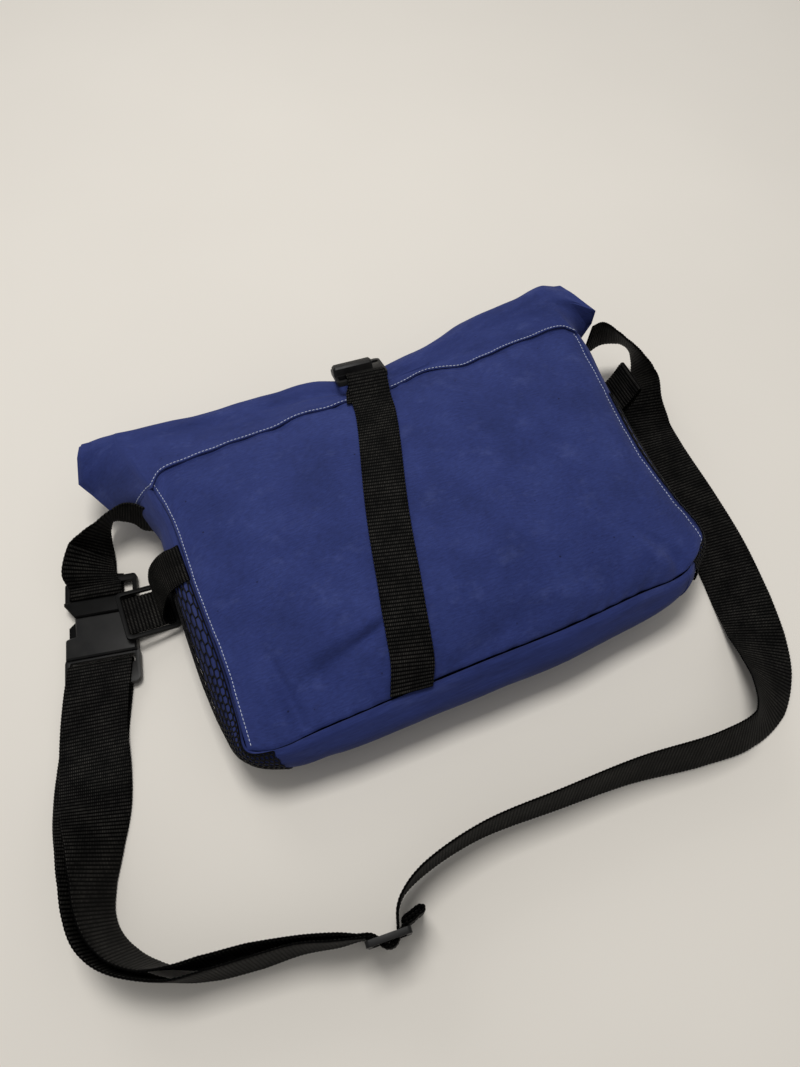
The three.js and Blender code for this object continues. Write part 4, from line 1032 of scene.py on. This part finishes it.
def make_left_anchor():
    wrap = round_bar(ANCHOR_BAR, -BUCKLE_ACROSS)[::-1]
    below = [(buckle_point(*ANCHOR_UNDER_BAR), -BUCKLE_ACROSS)]
    stations = edged(LEFT_ANCHOR) + below + wrap + edged(ANCHOR_TAIL)
    make_webbing("anchor_strap_webbing", stations, ANCHOR_WIDTH, "anchor_strap_left")


def make_tabs():
    make_webbing("side_tab_left_webbing", edged(LEFT_TAB), CLOSURE_WIDTH, "side_tab_left")
    make_webbing("side_tab_right_webbing", tipped(RIGHT_TAB), CLOSURE_WIDTH, "side_tab_right")
    make_webbing("ring_strap_webbing", tipped(RING_STRAP), CLOSURE_WIDTH, "ring_strap_left")


def top_buckle_point(along, above, aside):
    """A point in the closure buckle's own tipped plane."""
    turn = Matrix.Rotation(math.radians(TOP_BUCKLE["turn_deg"]), 3, "Z")
    tip = Matrix.Rotation(math.radians(-TOP_BUCKLE["tip_deg"]), 3, "X")
    return np.array(turn @ tip @ Vector((aside, along, above))) + np.array(TOP_BUCKLE["base"])


def on_side(rows, side):
    return [(np.array(row, float), side) for row in rows]


def make_closure():
    """The strap up the front and round the closure buckle, and the one behind the roll."""
    turn = math.radians(CLOSURE_WRAP["turn_deg"])
    across = top_buckle_point(math.sin(turn), 0, math.cos(turn)) - top_buckle_point(0, 0, 0)
    around = np.array([-1, 0, 1]) * CLOSURE_NUDGE
    both = np.array([-1, 1])
    stations = []
    for up in np.linspace(0, CLOSURE["up_end"], CLOSURE["stations"] + 1):
        foot = max(0, 1 - up / CLOSURE_FOOT["up"]) ** 2
        middle = mix(*CLOSURE["across"], up) + CLOSURE_FOOT["across"] * foot
        share, high = np.meshgrid(middle + around, up + around)
        patch = panel_point(share, np.clip(high, 0, 1))
        place = patch[1, 1] + normals(patch)[1, 1] * (SEWN_GAP + WEBBING)
        edges = panel_point(middle + both * CLOSURE_EDGE[0], np.clip(up + both * CLOSURE_EDGE[1], 0, 1))
        stations.append((place, mix(unit(edges[1] - edges[0]), across, up * up)))
    aside, rise = CLOSURE_WRAP["aside"], CLOSURE_WRAP["rise"]
    near = [(top_buckle_point(CLOSURE_WRAP["lead"], rise, aside), across)]
    wrap = [(top_buckle_point(CLOSURE_WRAP["reach"] * math.sin(t), rise * math.cos(t), aside), across)
            for t in HALF_TURN]
    stations += on_side(CLOSURE_RISE, across) + near + wrap + on_side(CLOSURE_TAIL, across)
    make_webbing("closure_strap_webbing", stations, CLOSURE_WIDTH, "closure_strap")
    make_webbing("closure_back_webbing", on_side(BACK_STRAP, across), CLOSURE_WIDTH, "closure_strap_back")


# Net pockets: side, and the wall rows where each starts and ends
NET_ROWS = [("left", 6.0, 1.7), ("right", 12.6, 17.0)]
NET_UP = (0.06, 0.99)
NET_CELLS = (56, 8)
NET_UPRIGHT = 0.2
NET_SLANT = 0.3
NET_YARN = 0.55
NET_YARN_FLATNESS = 0.7
NET_YARN_POINTS = 4
NET_YARN_SIDES = 6
NET_LIFT = 1.0
NET_NUDGE = 1e-3
NET_END = 1.0001


def net_yarns():
    """The ends of a hexagon net's yarns over the unit square."""
    columns, rows = NET_CELLS
    step_u = 1 / columns
    step_v = 1 / rows
    yarns = []
    for i in range(columns):
        for j in range(rows + 2):
            u = i * step_u
            v = (j + (i % 2) / 2) * step_v
            low = (u, v - step_v * NET_UPRIGHT)
            high = (u, v + step_v * NET_UPRIGHT)
            yarns.append([low, high])
            yarns.append([high, (u + step_u, v + step_v * NET_SLANT)])
            yarns.append([low, (u + step_u, v - step_v * NET_SLANT)])
    inside = [ends for ends in yarns if all(0 <= v <= 1 + step_v and u <= NET_END for u, v in ends)]
    return np.minimum(np.array(inside), 1)


def make_net_pocket(side_name, low_row, high_row):
    """A knitted net on the wall: short round yarns between the corners of each cell."""
    ends = net_yarns()
    place = mix(ends[:, :1], ends[:, 1:], np.linspace(0, 1, NET_YARN_POINTS)[None, :, None])
    round_share = mix(low_row, high_row, place[..., 0]) / LAST_ROW
    up = mix(*NET_UP, place[..., 1])
    wall = wall_point(round_share, up)
    du = wall_point(round_share + NET_NUDGE, up) - wall
    dv = wall_point(round_share, up + NET_NUDGE) - wall
    out = unit(np.cross(du, dv))
    centre = wall + out * NET_LIFT
    side = np.cross(out, unit(np.gradient(centre, axis=1)))
    turn = np.arange(NET_YARN_SIDES) * 2 * math.pi / NET_YARN_SIDES
    sideways = side[:, :, None] * np.cos(turn)[:, None] * NET_YARN
    outward = out[:, :, None] * np.sin(turn)[:, None] * NET_YARN * NET_YARN_FLATNESS
    vertices = centre[:, :, None] + (sideways + outward)
    index = np.arange(vertices[..., 0].size).reshape(vertices.shape[:3])
    faces = np.concatenate([quads(strip) for strip in wrapped(index)])
    mesh = build_mesh(f"net_{side_name}", vertices.reshape(-1, 3), faces)
    link(f"net_{side_name}", mesh, NET_MATERIAL, "net", f"net_pocket_{side_name}")


# Moulded plastic, from the solids with their edges rounded: node, width of the rounding, material
MOULDINGS = [
    ("strap_slider", 0.5, PLASTIC_MATERIAL),
    ("buckle_female", 0.25, PLASTIC_MATERIAL),
    ("closure_buckle", 0.6, PLASTIC_MATERIAL),
    ("buckle_male", 0.25, RING_MATERIAL),
    ("side_ring_left", 0.8, RING_MATERIAL),
]
MERGE_METRES = 2e-6
FLAT_DEG = 1.5
ROUNDING_STEPS = 3
ROUNDING_DEG = 28
MOULDED_SHARP_DEG = 35


def flat_faced(node):
    """A copy of a solid's mesh with the triangles of each flat face joined."""
    shape = bmesh.new()
    shape.from_mesh(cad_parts[node].data)
    bmesh.ops.remove_doubles(shape, verts=shape.verts, dist=MERGE_METRES)
    bmesh.ops.dissolve_limit(shape, angle_limit=math.radians(FLAT_DEG), verts=shape.verts, edges=shape.edges)
    mesh = bpy.data.meshes.new(node + "_flat")
    shape.to_mesh(mesh)
    shape.free()
    return mesh


def rounded(mesh, edge_mm):
    """The mesh with its sharp edges rounded by a bevel."""
    carrier = add_object("carrier", mesh)
    bevel = carrier.modifiers.new("rounding", "BEVEL")
    bevel.width = edge_mm * MM
    bevel.segments = ROUNDING_STEPS
    bevel.limit_method = "ANGLE"
    bevel.angle_limit = math.radians(ROUNDING_DEG)
    bpy.context.view_layer.update()
    result = bpy.data.meshes.new_from_object(carrier.evaluated_get(bpy.context.evaluated_depsgraph_get()))
    bpy.data.objects.remove(carrier)
    return result


def make_moulding(node, edge_mm, material):
    mesh = rounded(flat_faced(node), edge_mm)
    mesh.shade_smooth()
    mesh.set_sharp_from_angle(angle=math.radians(MOULDED_SHARP_DEG))
    link(node + "_moulded", mesh, material, "plastic", node)


# The studio
CAMERA_PLACE = (-106.14, -220.02, 485.46)
CAMERA_RIGHT = (0.9186, -0.3952, 0)
CAMERA_UP = (0.34894, 0.81108, 0.46947)
CAMERA_VIEW = (0.18554, 0.43126, -0.88295)
SENSOR_MM = 36
CLIP_START = 0.01
FLOOR_HALF = 6
# Lights, in metres and watts: name, place, target, size, power, colour
LIGHTS = [
    ("key", (-0.03, 0.3, 1.5), (-0.02, 0.05, 0), 0.5, 13.6, (1, 0.985, 0.96)),
    ("window", (-0.5, 2.4, 1.7), (0, 0, 0), 1.2, 8, (1, 0.99, 0.97)),
]
WORLD_COLOUR = (1, 0.99, 0.98, 1)
WORLD_STRENGTH = 0.34


def make_camera():
    lens = bpy.data.cameras.new("camera")
    lens.sensor_width = SENSOR_MM
    lens.lens = FOCAL_PIXELS / IMAGE_HEIGHT * SENSOR_MM
    lens.clip_start = CLIP_START
    camera = add_object("camera", lens)
    columns = [Vector(CAMERA_RIGHT), Vector(CAMERA_UP), -Vector(CAMERA_VIEW)]
    turn = Matrix(columns).transposed()
    camera.matrix_world = Matrix.Translation(Vector(CAMERA_PLACE) * MM) @ turn.to_4x4()
    scene.camera = camera


def make_floor():
    mesh = bpy.data.meshes.new("floor")
    corners = [(x * FLOOR_HALF, y * FLOOR_HALF, 0) for x, y in [(-1, -1), (1, -1), (1, 1), (-1, 1)]]
    mesh.from_pydata(corners, [], [(0, 1, 2, 3)])
    mesh.materials.append(pale_floor())
    floor = add_object("floor", mesh)


def make_light(name, place, target, size, power, colour):
    lamp = bpy.data.lights.new(name, "AREA")
    lamp.size = size
    lamp.energy = power
    lamp.color = colour
    light = add_object(name, lamp)
    light.location = place
    light.rotation_euler = (Vector(target) - Vector(place)).to_track_quat("-Z", "Y").to_euler()


def make_studio():
    make_camera()
    make_floor()
    for light in LIGHTS:
        make_light(*light)
    world = bpy.data.worlds.new("world")
    scene.world = world
    world.use_nodes = True
    background = world.node_tree.nodes["Background"]
    background.inputs["Color"].default_value = WORLD_COLOUR
    background.inputs["Strength"].default_value = WORLD_STRENGTH
    scene.view_settings.view_transform = "Standard"


make_studio()
make_front_panel()
make_walls()
make_back_panel()
collar_outside = make_collar()
make_panel_stitches()
make_collar_stitches(collar_outside)
make_shoulder_strap()
make_left_anchor()
make_tabs()
make_closure()
for pocket in NET_ROWS:
    make_net_pocket(*pocket)
for moulding in MOULDINGS:
    make_moulding(*moulding)

bpy.context.view_layer.update()
